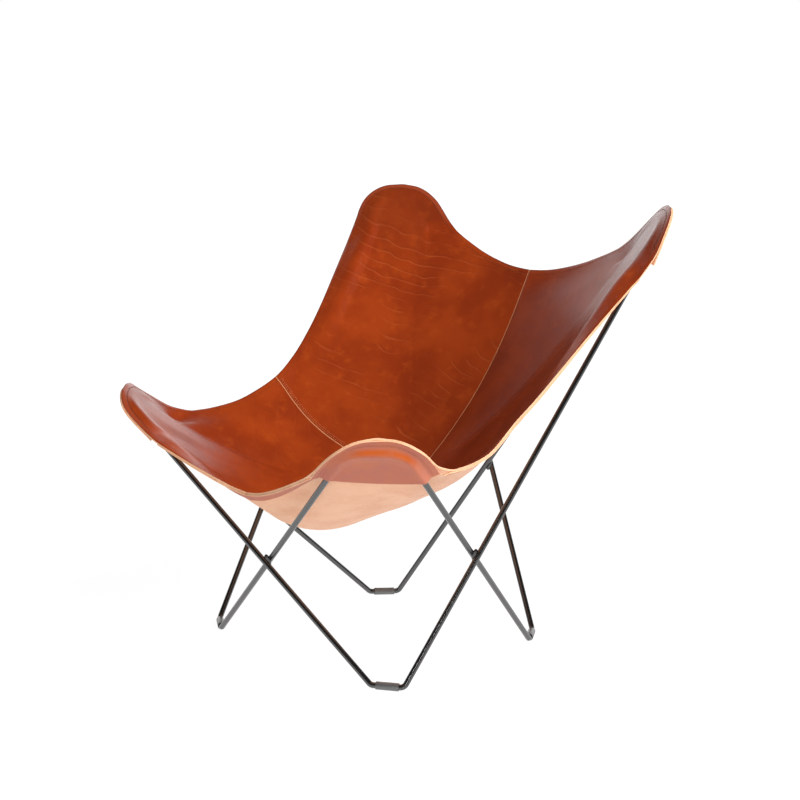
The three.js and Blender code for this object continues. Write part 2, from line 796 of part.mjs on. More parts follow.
const corners = {
  frontLeft: coverCorner(rods.frontLeft), frontRight: coverCorner(rods.frontRight),
  backLeft: coverCorner(rods.backLeft), backRight: coverCorner(rods.backRight),
};
const leftHalf = coverHalf(corners.frontLeft, corners.backLeft, -1);
const rightHalf = coverHalf(corners.frontRight, corners.backRight, 1);
const leftPanels = panelGeometries(leftHalf);
const rightPanels = panelGeometries(rightHalf);
addPiece('front_left_panel', leftPanels.front, leatherFinish);
addPiece('front_right_panel', rightPanels.front, leatherFinish);
addPiece('back_left_panel', leftPanels.back, leatherFinish);
addPiece('back_right_panel', rightPanels.back, leatherFinish);

addPiece('front_left_pocket', pocketGeometry(corners.frontLeft), pocketFinish);
addPiece('front_right_pocket', pocketGeometry(corners.frontRight), pocketFinish);
addPiece('back_left_pocket', pocketGeometry(corners.backLeft), pocketFinish);
addPiece('back_right_pocket', pocketGeometry(corners.backRight), pocketFinish);

const { frontRimStart, frontRimEnd, backRimStart, backRimEnd } = leftHalf.outline;
const lastColumn = leftHalf.surface.length - 1;
addPiece('left_edge_strip', stripGeometry(
  stripColumns(leftHalf, frontRimEnd, backRimStart)), pocketFinish);
addPiece('right_edge_strip', stripGeometry(
  stripColumns(rightHalf, frontRimEnd, backRimStart)), pocketFinish);

const frontStrip = [
  ...stripColumns(leftHalf, 0, frontRimStart).reverse(),
  ...stripColumns(rightHalf, 1, frontRimStart),
];
const backStrip = [
  ...stripColumns(leftHalf, backRimEnd, lastColumn),
  ...stripColumns(rightHalf, backRimEnd, lastColumn - 1).reverse(),
];
addPiece('front_edge_strip', stripGeometry(
  frontStrip, { from: 0, to: frontRimStart }), pocketFinish);
addPiece('back_edge_strip', stripGeometry(
  backStrip, { from: lastColumn - backRimEnd, to: backStrip.length }), pocketFinish);

export default chair;
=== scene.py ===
# Butterfly sling chair: a leather cover with four corner pockets, hung over two loops of bent steel rod.
# Sizes of the chair are in millimetres. Distances in materials, flat sizes of sheets, the floor, the lamps
# and the camera are in metres. The front of the seat faces -Y.
from math import acos, atan2, cos, hypot, pi, radians, sin, tan

import bpy
import numpy as np
from mathutils import Matrix, Vector


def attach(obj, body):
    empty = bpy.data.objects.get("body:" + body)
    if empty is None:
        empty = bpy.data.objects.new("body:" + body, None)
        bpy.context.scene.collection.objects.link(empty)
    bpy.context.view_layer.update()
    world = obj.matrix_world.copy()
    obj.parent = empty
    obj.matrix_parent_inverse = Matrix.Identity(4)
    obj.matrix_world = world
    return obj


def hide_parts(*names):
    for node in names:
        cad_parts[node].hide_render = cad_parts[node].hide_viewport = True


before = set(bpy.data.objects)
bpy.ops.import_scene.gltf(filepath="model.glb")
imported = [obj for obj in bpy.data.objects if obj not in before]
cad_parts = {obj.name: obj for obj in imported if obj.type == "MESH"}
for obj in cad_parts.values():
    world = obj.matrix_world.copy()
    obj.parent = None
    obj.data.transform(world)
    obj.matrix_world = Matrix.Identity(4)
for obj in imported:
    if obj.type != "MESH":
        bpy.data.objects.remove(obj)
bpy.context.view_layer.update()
mm = 0.001


# small helpers on points

def vec(x, y, z):
    return np.array((x, y, z), float)


def unit(v):
    return v / np.linalg.norm(v)


def lengths(grid):
    return np.linalg.norm(grid, axis=-1, keepdims=True)


def toward(a, b):
    return unit(b - a)


def mix(a, b, share):
    return a + (b - a) * share


def ease(share):
    return share * share * (3 - 2 * share)


def curve(start, end, leave, arrive, t):
    # a smooth run from start to end with a slope at each
    return (start * (1 + 2 * t) * (1 - t) ** 2 + leave * t * (1 - t) ** 2
            + end * t * t * (3 - 2 * t) + arrive * t * t * (t - 1))


def angleBetween(a, b):
    return acos(max(-1.0, min(1.0, float(np.dot(unit(a), unit(b))))))


def planHeading(degrees):
    return vec(cos(radians(degrees)), sin(radians(degrees)), 0)


def risingHeading(plan, degrees):
    flat = unit(vec(plan[0], plan[1], 0)) * cos(radians(degrees))
    return vec(flat[0], flat[1], sin(radians(degrees)))


def lengthAlong(points):
    # the distance along the first axis, from its start
    steps = np.linalg.norm(np.diff(points, axis=0), axis=-1)
    return np.concatenate([np.zeros_like(steps[:1]), np.cumsum(steps, axis=0)])


def readAt(where, reach, values):
    return np.array([np.interp(where, reach, values[:, k]) for k in range(3)])


# small helpers on objects

def clearSelection():
    if bpy.context.mode != 'OBJECT':
        bpy.ops.object.mode_set(mode='OBJECT')
    bpy.ops.object.select_all(action='DESELECT')


def makeActive(piece):
    clearSelection()
    piece.select_set(True)
    bpy.context.view_layer.objects.active = piece


def settle(name):
    # back to object mode, named, with its place in its mesh
    piece = bpy.context.active_object
    if bpy.context.mode != 'OBJECT':
        bpy.ops.object.mode_set(mode='OBJECT')
    bpy.ops.object.transform_apply(location=True, rotation=True, scale=True)
    piece.name = name
    piece.data.name = name
    return piece


def addObject(name, mesh):
    piece = bpy.data.objects.new(name, mesh)
    bpy.context.collection.objects.link(piece)
    return piece


def bevelEdges(piece, width, segments, material=-1):
    makeActive(piece)
    bevel = piece.modifiers.new('Bevel', 'BEVEL')
    bevel.width, bevel.segments, bevel.material = width * mm, segments, material
    bevel.limit_method, bevel.angle_limit = 'ANGLE', radians(50)
    bpy.ops.object.modifier_apply(modifier=bevel.name)


def finishPiece(piece, smoothDegrees, node):
    # shaded smooth, and set in the place of its solid
    makeActive(piece)
    bpy.ops.object.shade_smooth_by_angle(angle=radians(smoothDegrees))
    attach(piece, 'root')
    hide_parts(node)


# materials

class Value:
    # a node socket that can be used in sums: each sum adds its Math node
    def __init__(self, tree, socket):
        self.tree, self.socket = tree, socket

    def calc(self, operation, *others):
        return makeNode(self.tree, 'Math', dict(enumerate([self, *others])), operation=operation)

    def __add__(self, other):
        return self.calc('ADD', other)

    __radd__ = __add__

    def __sub__(self, other):
        return self.calc('SUBTRACT', other)

    def __rsub__(self, other):
        return self.calc('MULTIPLY_ADD', -1, other)

    def __mul__(self, other):
        return self.calc('MULTIPLY', other)

    __rmul__ = __mul__

    def __truediv__(self, other):
        return self.calc('DIVIDE', other)

    def __rtruediv__(self, other):
        return self.calc('POWER', -1) * other

    def above(self, low, high):
        # 0 under the low value and 1 over the high one
        return makeNode(self.tree, 'MapRange', {'Value': self, 'From Min': low, 'From Max': high},
                        interpolation_type='SMOOTHSTEP')

    def below(self, low, high):
        return 1 - self.above(low, high)

    def near(self, middle, inner, outer):
        # 1 within the inner distance of the middle value and 0 past the outer one
        return (self - middle).calc('ABSOLUTE').below(inner, outer)

    def part(self, axis):
        return makeNode(self.tree, 'SeparateXYZ', {'Vector': self}, axis)


def makeNode(tree, kind, sockets, output=0, **settings):
    # one shader node: its settings come first, then the values or links of its sockets
    node = tree.nodes.new('ShaderNode' + kind)
    for key, value in settings.items():
        setattr(node, key, value)
    for key, value in sockets.items():
        if isinstance(value, Value):
            tree.links.new(value.socket, node.inputs[key])
        else:
            node.inputs[key].default_value = value
    return Value(tree, node.outputs[output])


def makeOutput(tree, kind, surface):
    tree.links.new(surface.socket, tree.nodes.new('ShaderNodeOutput' + kind).inputs['Surface'])


def newMaterial(name):
    material = bpy.data.materials.new(name)
    material.use_nodes = True
    material.node_tree.nodes.clear()
    return material, material.node_tree


def finishMaterial(material, **sockets):
    tree = material.node_tree
    sockets = {key.replace('_', ' '): value for key, value in sockets.items()}
    makeOutput(tree, 'Material', makeNode(tree, 'BsdfPrincipled', sockets, 'BSDF'))
    return material


def colour(red, green, blue):
    # 0 to 255 as the eye reads it, to the linear value that a shader takes
    parts = (part / 255 for part in (red, green, blue))
    return tuple(part / 12.92 if part <= 0.04045 else ((part + 0.055) / 1.055) ** 2.4 for part in parts)


def paint(tree, look, base, *layers):
    # each layer is a share and the name of the colour that it brings over the ones before
    tint = (*colour(*look[base]), 1)
    for share, name in layers:
        tint = makeNode(tree, 'Mix', {0: share, 6: tint, 7: (*colour(*look[name]), 1)}, 2, data_type='RGBA')
    return tint


def noise(tree, place, scale, detail=2, rough=0.5, distortion=0):
    return makeNode(tree, 'TexNoise', {
        'Vector': place, 'Scale': scale, 'Detail': detail, 'Roughness': rough, 'Distortion': distortion})


def objectPlace(tree, move=(0, 0, 0), size=(1, 1, 1)):
    place = makeNode(tree, 'TexCoord', {}, 'Object')
    return makeNode(tree, 'Mapping', {'Vector': place, 'Location': move, 'Scale': size})


def readMap(tree, name):
    return makeNode(tree, 'UVMap', {}, 'UV', uv_map=name)


def bump(tree, height, strength, distance):
    return makeNode(tree, 'Bump', {'Strength': strength, 'Distance': distance, 'Height': height})


def fineGrain(tree, place):
    cells = makeNode(tree, 'TexVoronoi', {'Vector': place, 'Scale': 620, 'Randomness': 1}, 'Distance',
                     feature='DISTANCE_TO_EDGE')
    return cells.above(0, 0.35) * 0.5 + noise(tree, place, 1500, 2, 0.6) * 0.35


grainLeather = {
    'deep': (140, 48, 14), 'body': (160, 60, 17), 'warm': (180, 74, 20), 'line': (184, 86, 44),
    'shadeTone': (84, 32, 16), 'rimSheen': (156, 70, 44), 'seam': (216, 142, 98), 'roughness': 0.31,
    'lineGap': 0.027, 'creaseDepth': 0.0115, 'lobeShade': 0.34,
}


def leatherFace(name, lineWay, lineStrength, creaseStrength, shift):
    # the dyed side: cloudy colour, pale growth lines, fine grain and a creased line round the lobe, with
    # painted shade and a painted rim sheen in the colour
    material, tree = newMaterial(name)
    look = grainLeather
    place = objectPlace(tree, move=shift)
    clouds = noise(tree, place, 9, 3, 0.55)
    patches = noise(tree, place, 34, 4, 0.6)
    # growth lines run across the hide in long waves, each with a painted shade beside it
    apart = makeNode(tree, 'VectorMath', {0: objectPlace(tree), 1: lineWay}, 'Value', operation='DOT_PRODUCT')
    wander = noise(tree, place, 4, 2, 0.5)
    fine = noise(tree, place, 24, 2, 0.5)
    wave = (apart / look['lineGap'] + wander * 5 + fine * 0.6).calc('FRACT') - 0.5
    broken = noise(tree, place, 8, 3, 0.6).above(0.46, 0.6) * lineStrength
    growth = wave.near(0, 0, 0.09) * broken
    shade = wave.near(0.13, 0, 0.12) * broken
    # the rim map holds the distance from the cut edge, the zone map that from a seam and the share of a lobe
    inward = readMap(tree, 'rim').part('Y')
    zone = readMap(tree, 'zone')
    fromSeam, lobe = zone.part('X'), zone.part('Y')
    # the creased line is dented by the bump and also painted darker, as painted shade in the crease
    crease = inward.near(look['creaseDepth'], 0.0005, 0.0018) * lobe * creaseStrength
    tint = paint(
        tree, look, 'deep', (clouds.above(0.32, 0.68), 'body'), (patches.above(0.5, 0.78) * 0.5, 'warm'),
        # pale growth lines, and painted shade beside them
        (growth * 0.42, 'line'), (shade * 0.14, 'shadeTone'),
        # painted shade: the lobes darker towards the rim, fading out from 40 to 220 mm in from the cut edge
        (inward.below(0.04, 0.22) * lobe * look['lobeShade'], 'shadeTone'),
        # painted sheen: a lighter band within about 1 cm of the cut edge in the lobes
        (inward.below(0.007, 0.012) * lobe * 0.6, 'rimSheen'), (crease * 0.6, 'shadeTone'),
        # darker within about 2 mm of the cut edge, and painted shade for a few millimetres beside each seam
        (inward.below(0.0002, 0.0022) * 0.8, 'shadeTone'), (fromSeam.below(0.0015, 0.004) * 0.3, 'shadeTone'),
        (fromSeam.below(0.0008, 0.0015) * 0.85, 'seam'))
    height = fineGrain(tree, place) + noise(tree, place, 70, 3, 0.55) * 1.4 + growth * 0.9 - crease * 5
    rough = look['roughness'] + patches * 0.1 - 0.05 + growth * 0.08
    return finishMaterial(material, Base_Color=tint, Roughness=rough, Normal=bump(tree, height, 0.35, 0.00035),
                          IOR=1.32)


fleshLeather = {'pale': (238, 183, 148), 'deep': (222, 154, 116), 'fibre': (244, 200, 170), 'roughness': 0.82}


def fleshFace(name):
    # the undyed back of the hide: pale, fibrous, with faint wrinkles
    material, tree = newMaterial(name)
    clouds = noise(tree, objectPlace(tree), 14, 3, 0.6)
    fibres = noise(tree, objectPlace(tree, size=(1, 0.25, 0.6)), 420, 3, 0.65)
    folds = noise(tree, objectPlace(tree, size=(0.5, 0.5, 2.2)), 24, 3, 0.5, 1.2)
    ridge = folds.near(0.5, 0, 0.03)
    tint = paint(
        tree, fleshLeather, 'pale', (clouds.above(0.35, 0.7) * 0.6, 'deep'),
        # the thin wrinkle lines are painted a little darker, as painted shade in the wrinkles
        (fibres.above(0.45, 0.75) * 0.45, 'fibre'), (ridge * clouds.above(0.4, 0.6) * 0.3, 'deep'))
    return finishMaterial(material, Base_Color=tint, Roughness=fleshLeather['roughness'], Sheen_Weight=0.15,
                          Normal=bump(tree, fibres * 0.7 + ridge * 0.6, 0.4, 0.0004), Specular_IOR_Level=0.3)


cutLeather = {'pale': (240, 186, 146), 'deep': (218, 150, 110), 'roughness': 0.7}


def cutFace(name):
    # the cut edge: pale, with a slightly darker layer here and there
    material, tree = newMaterial(name)
    speckle = noise(tree, objectPlace(tree), 260, 3, 0.6)
    streak = noise(tree, objectPlace(tree), 30, 2, 0.5)
    tint = paint(tree, cutLeather, 'pale', ((speckle * 0.5 + streak * 0.5).above(0.45, 0.7) * 0.7, 'deep'))
    return finishMaterial(material, Base_Color=tint, Roughness=cutLeather['roughness'],
                          Normal=bump(tree, speckle, 0.4, 0.0003), Specular_IOR_Level=0.35)


pocketLeather = {
    'paleSheen': (190, 112, 84), 'rose': (182, 108, 90), 'bulgeHighlight': (188, 86, 28), 'roughness': 0.45,
    'bandDepth': 0.029,
}


def pocketFace(name, bulgeHighlight):
    # the dyed side of a pocket or strip: a pale painted sheen where it lies flat, and on a pocket a painted
    # orange highlight along the bulge over the rod
    material, tree = newMaterial(name)
    look = pocketLeather
    place = objectPlace(tree)
    clouds = noise(tree, place, 22, 3, 0.55)
    layers = [(clouds.above(0.35, 0.7), 'rose')]
    if bulgeHighlight:
        rim = readMap(tree, 'rim')
        # painted highlight: a band at the rod's depth, strongest over the top of the arch
        top = rim.part('X').above(0.06, 0.14) * rim.part('X').below(0.21, 0.28)
        band = (rim.part('Y') + noise(tree, place, 160, 2, 0.6) * 0.004).near(look['bandDepth'], 0.001, 0.011)
        layers.append((band * top * clouds.above(0.2, 0.6), 'bulgeHighlight'))
    height = fineGrain(tree, place) + noise(tree, place, 90, 3) * 1.2
    return finishMaterial(
        material, Base_Color=paint(tree, look, 'paleSheen', *layers), Roughness=look['roughness'] + clouds * 0.1,
        Normal=bump(tree, height, 0.3, 0.0003), IOR=1.3)


blackSteel = {'coat': (11, 11, 11), 'worn': (24, 23, 23)}


def steelFace(name, roughness, lift=0):
    # satin black coating on steel, a little uneven and dusty
    material, tree = newMaterial(name)
    look = {key: [part + lift for part in value] for key, value in blackSteel.items()}
    cloudy = noise(tree, objectPlace(tree), 38, 3, 0.6)
    tint = paint(tree, look, 'coat', (cloudy.above(0.4, 0.75) * 0.6, 'worn'))
    return finishMaterial(material, Base_Color=tint, Roughness=cloudy * 0.08 + roughness, IOR=2.0)


def threadFace(name, tan, shade):
    material, tree = newMaterial(name)
    twist = makeNode(tree, 'TexWave', {'Vector': objectPlace(tree), 'Scale': 900, 'Distortion': 1.5},
                     bands_direction='DIAGONAL')
    tint = paint(tree, {'tan': tan, 'shade': shade}, 'shade', (twist, 'tan'))
    return finishMaterial(material, Base_Color=tint, Roughness=0.6, Normal=bump(tree, twist, 0.4, 0.0002))


grainFaces = {
    'front_left': leatherFace('grainFrontLeft', (0.5, 0.5, 0.3), 0.2, 1.0, (0.7, 0.2, 0.1)),
    'front_right': leatherFace('grainFrontRight', (0.5, -0.4, 0.3), 0.2, 1.0, (0.1, 0.9, 0.3)),
    'back_left': leatherFace('grainBackLeft', (0.26, 0.26, 1.0), 1.0, 0.35, (0.3, 0.5, 0.8)),
    'back_right': leatherFace('grainBackRight', (-0.3, 0.3, 0.9), 0.25, 1.0, (0.9, 0.4, 0.6)),
}
fleshSide = fleshFace('fleshSide')
cutEdge = cutFace('cutEdge')
pocketSide = pocketFace('pocketSide', True)
stripSide = pocketFace('stripSide', False)
rodSteel = steelFace('rodSteel', 0.2)
sleeveSteel = steelFace('sleeveSteel', 0.38, 62)
weldSteel = steelFace('weldSteel', 0.35)
rimThread = threadFace('rimThread', (150, 74, 42), (110, 48, 26))
pocketThread = threadFace('pocketThread', (176, 100, 76), (150, 82, 62))
seamThread = threadFace('seamThread', (224, 148, 108), (176, 98, 64))
print('materials made')


# the rod loops

frameSizes = {
    'rodDiameter': 11.5, 'pitchGap': 0.9, 'cornerBend': 50, 'footBend': 12, 'footTurnShare': 0.8,
    'footFront': (252.5, 230.5), 'frontHeading': 35, 'backHeading': 55, 'sideWeldHeight': 244,
    'frontCorner': (356, 376, 488), 'frontStretch': 105, 'frontStretchHeading': 133.5,
    'backCorner': (370, 388, 875), 'backStretch': 105, 'backStretchHeading': 136.5,
    'sleeveDiameter': 15.6, 'sleeveLength': 45, 'rodSides': 32, 'cornerSteps': 20, 'footSteps': 10,
    'rodEndGap': 1,
}
rodRadius = frameSizes['rodDiameter'] / 2
footHeight = frameSizes['sleeveDiameter'] / 2
footReach = frameSizes['sleeveLength'] / 2 + frameSizes['footBend'] * frameSizes['footTurnShare']


def stretchEnds(end, corner):
    # the straight run over a corner
    along = planHeading(frameSizes[end + 'StretchHeading'])
    half = along * frameSizes[end + 'Stretch'] / 2
    return corner - half, corner + half


def layOutLoop():
    # one loop is laid out, and the other one is its mirror image in plan
    s = frameSizes
    pitch = s['rodDiameter'] + s['pitchGap']
    near, far = planHeading(s['frontHeading']), planHeading(s['backHeading'])
    nearFoot = vec(s['footFront'][0], -s['footFront'][1], footHeight)
    nearInner, nearOuter = nearFoot - near * footReach, nearFoot + near * footReach
    frontX, frontY, frontZ = s['frontCorner']
    frontNear, frontFar = stretchEnds('front', vec(-frontX, -frontY, frontZ))
    backNear, backFar = stretchEnds('back', vec(*s['backCorner']))
    leg = toward(nearInner, frontNear)
    shift = pitch / 2 * hypot(leg[1], leg[2]) / abs(leg[2])
    backLeg = toward(nearOuter, backNear)
    weld = nearOuter + backLeg * (s['sideWeldHeight'] - footHeight) / backLeg[2] + vec(shift, -shift, 0)
    otherCorner = vec(-frontFar[0] - shift, frontFar[1] + shift, frontFar[2])
    inward = vec(-1, 0, 0)
    # a few rounds bring the two rods side by side at the weld
    for _ in range(5):
        inward = unit(np.cross(backLeg, toward(otherCorner, weld + inward * pitch)))
        inward = inward * -np.sign(inward[0])
    otherLeg = toward(otherCorner, weld + inward * pitch)
    otherFoot = otherCorner + otherLeg * (footHeight - otherCorner[2]) / otherLeg[2]
    farInner = vec(-otherFoot[0] - shift, otherFoot[1] - shift, footHeight)
    return {
        'shift': shift, 'near': near, 'far': far, 'nearFoot': nearFoot, 'nearInner': nearInner,
        'nearOuter': nearOuter, 'farFoot': farInner + far * footReach, 'farInner': farInner,
        'farOuter': farInner + far * 2 * footReach, 'frontNear': frontNear, 'frontFar': frontFar,
        'backNear': backNear, 'backFar': backFar,
    }


loop = layOutLoop()


def onSide(spot, side):
    return vec(side * (spot[0] + loop['shift']), spot[1] - side * loop['shift'], spot[2])


def rodCorners(end, side):
    gap = frameSizes['rodEndGap'] / 2
    sign, inner, outer = (-1, 'nearInner', 'farInner') if end == 'front' else (1, 'nearOuter', 'farOuter')
    return [onSide(spot, side) for spot in (
        loop['nearFoot'] + loop['near'] * sign * gap, loop[inner], loop[end + 'Near'],
        loop[end + 'Far'], loop[outer], loop['farFoot'] + loop['far'] * sign * gap)]


def roundAt(before, corner, after, radius):
    back, onward = toward(corner, before), toward(corner, after)
    half = angleBetween(back, onward) / 2
    centre = corner + unit(back + onward) * radius / sin(half)
    start = toward(centre, corner + back * radius / tan(half))
    end = toward(centre, corner + onward * radius / tan(half))
    return {'centre': centre, 'start': start, 'end': end, 'sweep': angleBetween(start, end), 'radius': radius}


def onRound(bend, share):
    start, end = bend['start'] * sin((1 - share) * bend['sweep']), bend['end'] * sin(share * bend['sweep'])
    outward = unit(start + end)
    return bend['centre'] + outward * bend['radius'], outward


def buildRod(name, corners, node):
    # a ring at one end is drawn along the straight runs and spun round the bends
    s = frameSizes
    clearSelection()
    way = Vector(toward(corners[0], corners[1]))
    bpy.ops.mesh.primitive_circle_add(
        vertices=s['rodSides'], radius=rodRadius * mm, fill_type='NOTHING',
        location=Vector(corners[0]) * mm, rotation=way.to_track_quat('Z', 'Y').to_euler())
    bpy.ops.object.mode_set(mode='EDIT')
    bpy.ops.mesh.select_mode(type='VERT')
    bpy.ops.mesh.select_all(action='SELECT')
    here = corners[0]
    for i, kind in enumerate(('foot', 'corner', 'corner', 'foot')):
        bend = roundAt(*corners[i:i + 3], s[kind + 'Bend'])
        start, _ = onRound(bend, 0)
        bpy.ops.mesh.extrude_region_move(TRANSFORM_OT_translate={'value': Vector(start - here) * mm})
        bpy.ops.mesh.spin(
            steps=s[kind + 'Steps'], angle=-bend['sweep'], center=Vector(bend['centre']) * mm,
            axis=Vector(np.cross(bend['start'], bend['end'])).normalized())
        here, _ = onRound(bend, 1)
    bpy.ops.mesh.extrude_region_move(TRANSFORM_OT_translate={'value': Vector(corners[5] - here) * mm})
    bpy.ops.mesh.select_all(action='SELECT')
    bpy.ops.mesh.remove_doubles(threshold=0.00001)
    bpy.ops.mesh.fill_holes(sides=0)
    bpy.ops.mesh.normals_make_consistent(inside=False)
    piece = settle(name)
    piece.data.materials.append(rodSteel)
    finishPiece(piece, 50, node)


rods = {
    'front_left': rodCorners('front', 1), 'back_right': rodCorners('back', 1),
    'front_right': rodCorners('front', -1), 'back_left': rodCorners('back', -1),
}
for key, corners in rods.items():
    buildRod(key + '_bent_rod', corners, key + '_rod')
print('rods bent')


sleeveSizes = {'wallGap': 0.3, 'sides': 48, 'lip': 0.9, 'lipSteps': 3}


def buildSleeve(name, foot, heading, side, node):
    # a tube over two rod ends, with rounded lips
    s = sleeveSizes
    way = Vector((side * heading[0], heading[1], heading[2]))
    outer = frameSizes['sleeveDiameter'] / 2
    clearSelection()
    bpy.ops.mesh.primitive_cylinder_add(
        vertices=s['sides'], radius=outer * mm, depth=frameSizes['sleeveLength'] * mm,
        location=Vector(onSide(foot, side)) * mm, rotation=way.to_track_quat('Z', 'Y').to_euler())
    piece = bpy.context.active_object
    bpy.ops.object.mode_set(mode='EDIT')
    bpy.ops.mesh.select_mode(type='FACE')
    bpy.ops.mesh.select_all(action='DESELECT')
    bpy.ops.object.mode_set(mode='OBJECT')
    turn = piece.matrix_world.to_3x3()
    for face in piece.data.polygons:
        face.select = abs((turn @ face.normal).normalized().dot(way)) > 0.9
    bpy.ops.object.mode_set(mode='EDIT')
    bpy.ops.mesh.inset(thickness=(outer - rodRadius - s['wallGap']) * mm, depth=0, use_individual=True)
    bpy.ops.mesh.bridge_edge_loops()
    bpy.ops.mesh.select_all(action='SELECT')
    bpy.ops.mesh.normals_make_consistent(inside=False)
    piece = settle(name)
    bevelEdges(piece, s['lip'], s['lipSteps'])
    piece.data.materials.append(sleeveSteel)
    finishPiece(piece, 35, node)


for name, end, side in (('front_right', 'near', 1), ('back_left', 'far', 1),
                        ('front_left', 'near', -1), ('back_right', 'far', -1)):
    buildSleeve(name + '_floor_sleeve', loop[end + 'Foot'], loop[end], side, name + '_foot_sleeve')

weldSizes = {'reach': 15, 'halfWidth': 7.5, 'halfThick': 5.2, 'ripple': 0.35, 'segments': 28, 'rings': 16}


def buildWeld(name, first, second, node):
    # a low bead in the narrow angles of a crossing, slightly rippled
    w = weldSizes
    (a, b), (c, d) = first, second
    firstWay, secondWay = toward(a, b), toward(c, d)
    apart, along = c - a, float(np.dot(firstWay, secondWay))
    spread = 1 - along * along
    firstRun = (np.dot(apart, firstWay) - np.dot(apart, secondWay) * along) / spread
    secondRun = (np.dot(apart, firstWay) * along - np.dot(apart, secondWay)) / spread
    centre = (a + firstWay * firstRun + c + secondWay * secondRun) / 2
    long, wide = unit(firstWay + secondWay), unit(firstWay - secondWay)
    turn = Matrix((long, wide, np.cross(long, wide))).transposed()
    clearSelection()
    bpy.ops.mesh.primitive_uv_sphere_add(segments=w['segments'], ring_count=w['rings'], radius=1,
                                         location=(0, 0, 0))
    bpy.ops.object.mode_set(mode='EDIT')
    bpy.ops.mesh.select_all(action='SELECT')
    bpy.ops.transform.resize(value=(w['reach'] * mm, w['halfWidth'] * mm, w['halfThick'] * mm))
    bpy.ops.transform.vertex_random(offset=w['ripple'] * mm, seed=7)
    bpy.ops.mesh.vertices_smooth(factor=0.5, repeat=1)
    bpy.ops.object.mode_set(mode='OBJECT')
    bpy.context.active_object.matrix_world = Matrix.Translation(Vector(centre) * mm) @ turn.to_4x4()
    piece = settle(name)
    piece.data.materials.append(weldSteel)
    finishPiece(piece, 80, node)


def rodLeg(key, near):
    return (rods[key][1], rods[key][2]) if near else (rods[key][4], rods[key][3])


for name, first, second in (
        ('front', rodLeg('front_left', True), rodLeg('front_right', True)),
        ('back', rodLeg('back_right', False), rodLeg('back_left', False)),
        ('right', rodLeg('back_right', True), rodLeg('front_right', False)),
        ('left', rodLeg('back_left', True), rodLeg('front_left', False))):
    buildWeld(name + '_weld_bead', first, second, name + '_weld')
print('sleeves and welds made')


# the cover as a smooth surface: rays run from the seat centre to the cut edge, in two halves

coverSizes = {
    'thickness': 3.5, 'bevel': 0.7, 'fitGap': 0.3, 'rimOffset': 34, 'rimFold': 6,
    'frontRimReach': (35.5, 28.5, 31, 30.5, 32), 'frontRimRise': (-10, -13, 2, -2, 12),
    'backRimReach': (35, 35, 32.5, 28, 46), 'backRimRise': (-20, -9.5, -3.5, -0.5, 8.5),
    'centre': (0, 84, 316), 'riseBack': 37.5, 'riseSide': 17,
    'frontEdge': (373.5, 356), 'frontRise': 42, 'frontLead': 60, 'frontRimLead': 36.5,
    'sideEdge': (348, 6, 499.5), 'sideRise': 45, 'sideHeading': 31.5, 'sideFrontLead': 26.5,
    'sideFrontRimLead': 110, 'sideBackLead': 118, 'sideBackRimLead': 97.5,
    'backEdge': (419.5, 741.5), 'backRise': 64, 'backLead': 99.5, 'backRimLead': 34,
    'turnIn': 18.5, 'frontFlare': 13.5, 'sideFrontFlare': 24, 'sideBackFlare': 0, 'backFlare': 24,
    'rimFan': 170, 'swell': 1.07, 'passes': 10, 'easePasses': 2, 'bellyWidth': 60,
    'bagStation': 25.5, 'bagWidth': 4, 'bagLean': 1.8, 'bagDepth': 15,
    'pullShare': 0.45, 'lobeSwell': 0.43, 'edgeSwell': 1.25, 'pocketDepth': 83, 'stripWidth': 20,
    'bendSteps': 5, 'legSteps': 3, 'edgeSteps': 6, 'rows': 8, 'finer': 6, 'lobeFade': 2.5,
    'frontFlat': (0.47, 0.62), 'backFlat': (0.50, 0.78),
}
panelHeight = rodRadius + coverSizes['fitGap'] + coverSizes['thickness'] / 2
seatCentre = vec(*coverSizes['centre'])
stationCount = 2 * (coverSizes['legSteps'] + coverSizes['bendSteps'] + 1)


def coverCorner(rod, end):
    # a corner follows its bent rod: legs, two rounds and the stretch between them
    _, firstFoot, first, second, secondFoot, _ = rod
    origin = (first + second) / 2
    along = toward(first, second)

    def insideOf(leg):
        inside = unit(np.cross(along, leg))
        return inside * np.sign(np.dot(toward(origin, seatCentre), inside))
    firstLeg, secondLeg = toward(first, firstFoot), toward(second, secondFoot)
    firstInside, secondInside = insideOf(firstLeg), insideOf(secondLeg)
    inside = unit(firstInside + secondInside)
    upward = unit(np.cross(inside, along))
    return {
        'end': end, 'origin': origin, 'upward': upward * np.sign(upward[2]), 'inside': inside,
        'sides': [(first, firstLeg, firstInside), (second, secondLeg, secondInside)],
        'rounds': [roundAt(firstFoot, first, second, frameSizes['cornerBend']),
                   roundAt(first, second, secondFoot, frameSizes['cornerBend'])],
    }


def cornerStation(corner, number):
    # the rod's place and directions at a station number, which may lie between two stations
    legs, arc = coverSizes['legSteps'], coverSizes['bendSteps']
    mirrored = int(number > legs + arc + 0.5)
    count = stationCount - 1 - number if mirrored else number
    spot, legWay, inside = corner['sides'][mirrored]
    bend = corner['rounds'][mirrored]
    if count < legs:
        arcSpot, outward = onRound(bend, mirrored)
        return {'corner': spot, 'leg': legWay, 'inside': inside, 'outward': outward, 'arcSpot': arcSpot,
                'share': count / legs, 'onLeg': True}
    if count <= legs + arc:
        share = (count - legs) / arc
        arcSpot, outward = onRound(bend, 1 - share if mirrored else share)
        return {'spot': arcSpot, 'leg': legWay, 'inside': inside, 'outward': outward, 'onLeg': False}
    before, after = cornerStation(corner, legs + arc), cornerStation(corner, legs + arc + 1)
    share = number - legs - arc
    return {'spot': mix(before['spot'], after['spot'], share), 'leg': legWay, 'onLeg': False,
            'inside': unit(mix(before['inside'], after['inside'], share)),
            'outward': unit(mix(before['outward'], after['outward'], share))}


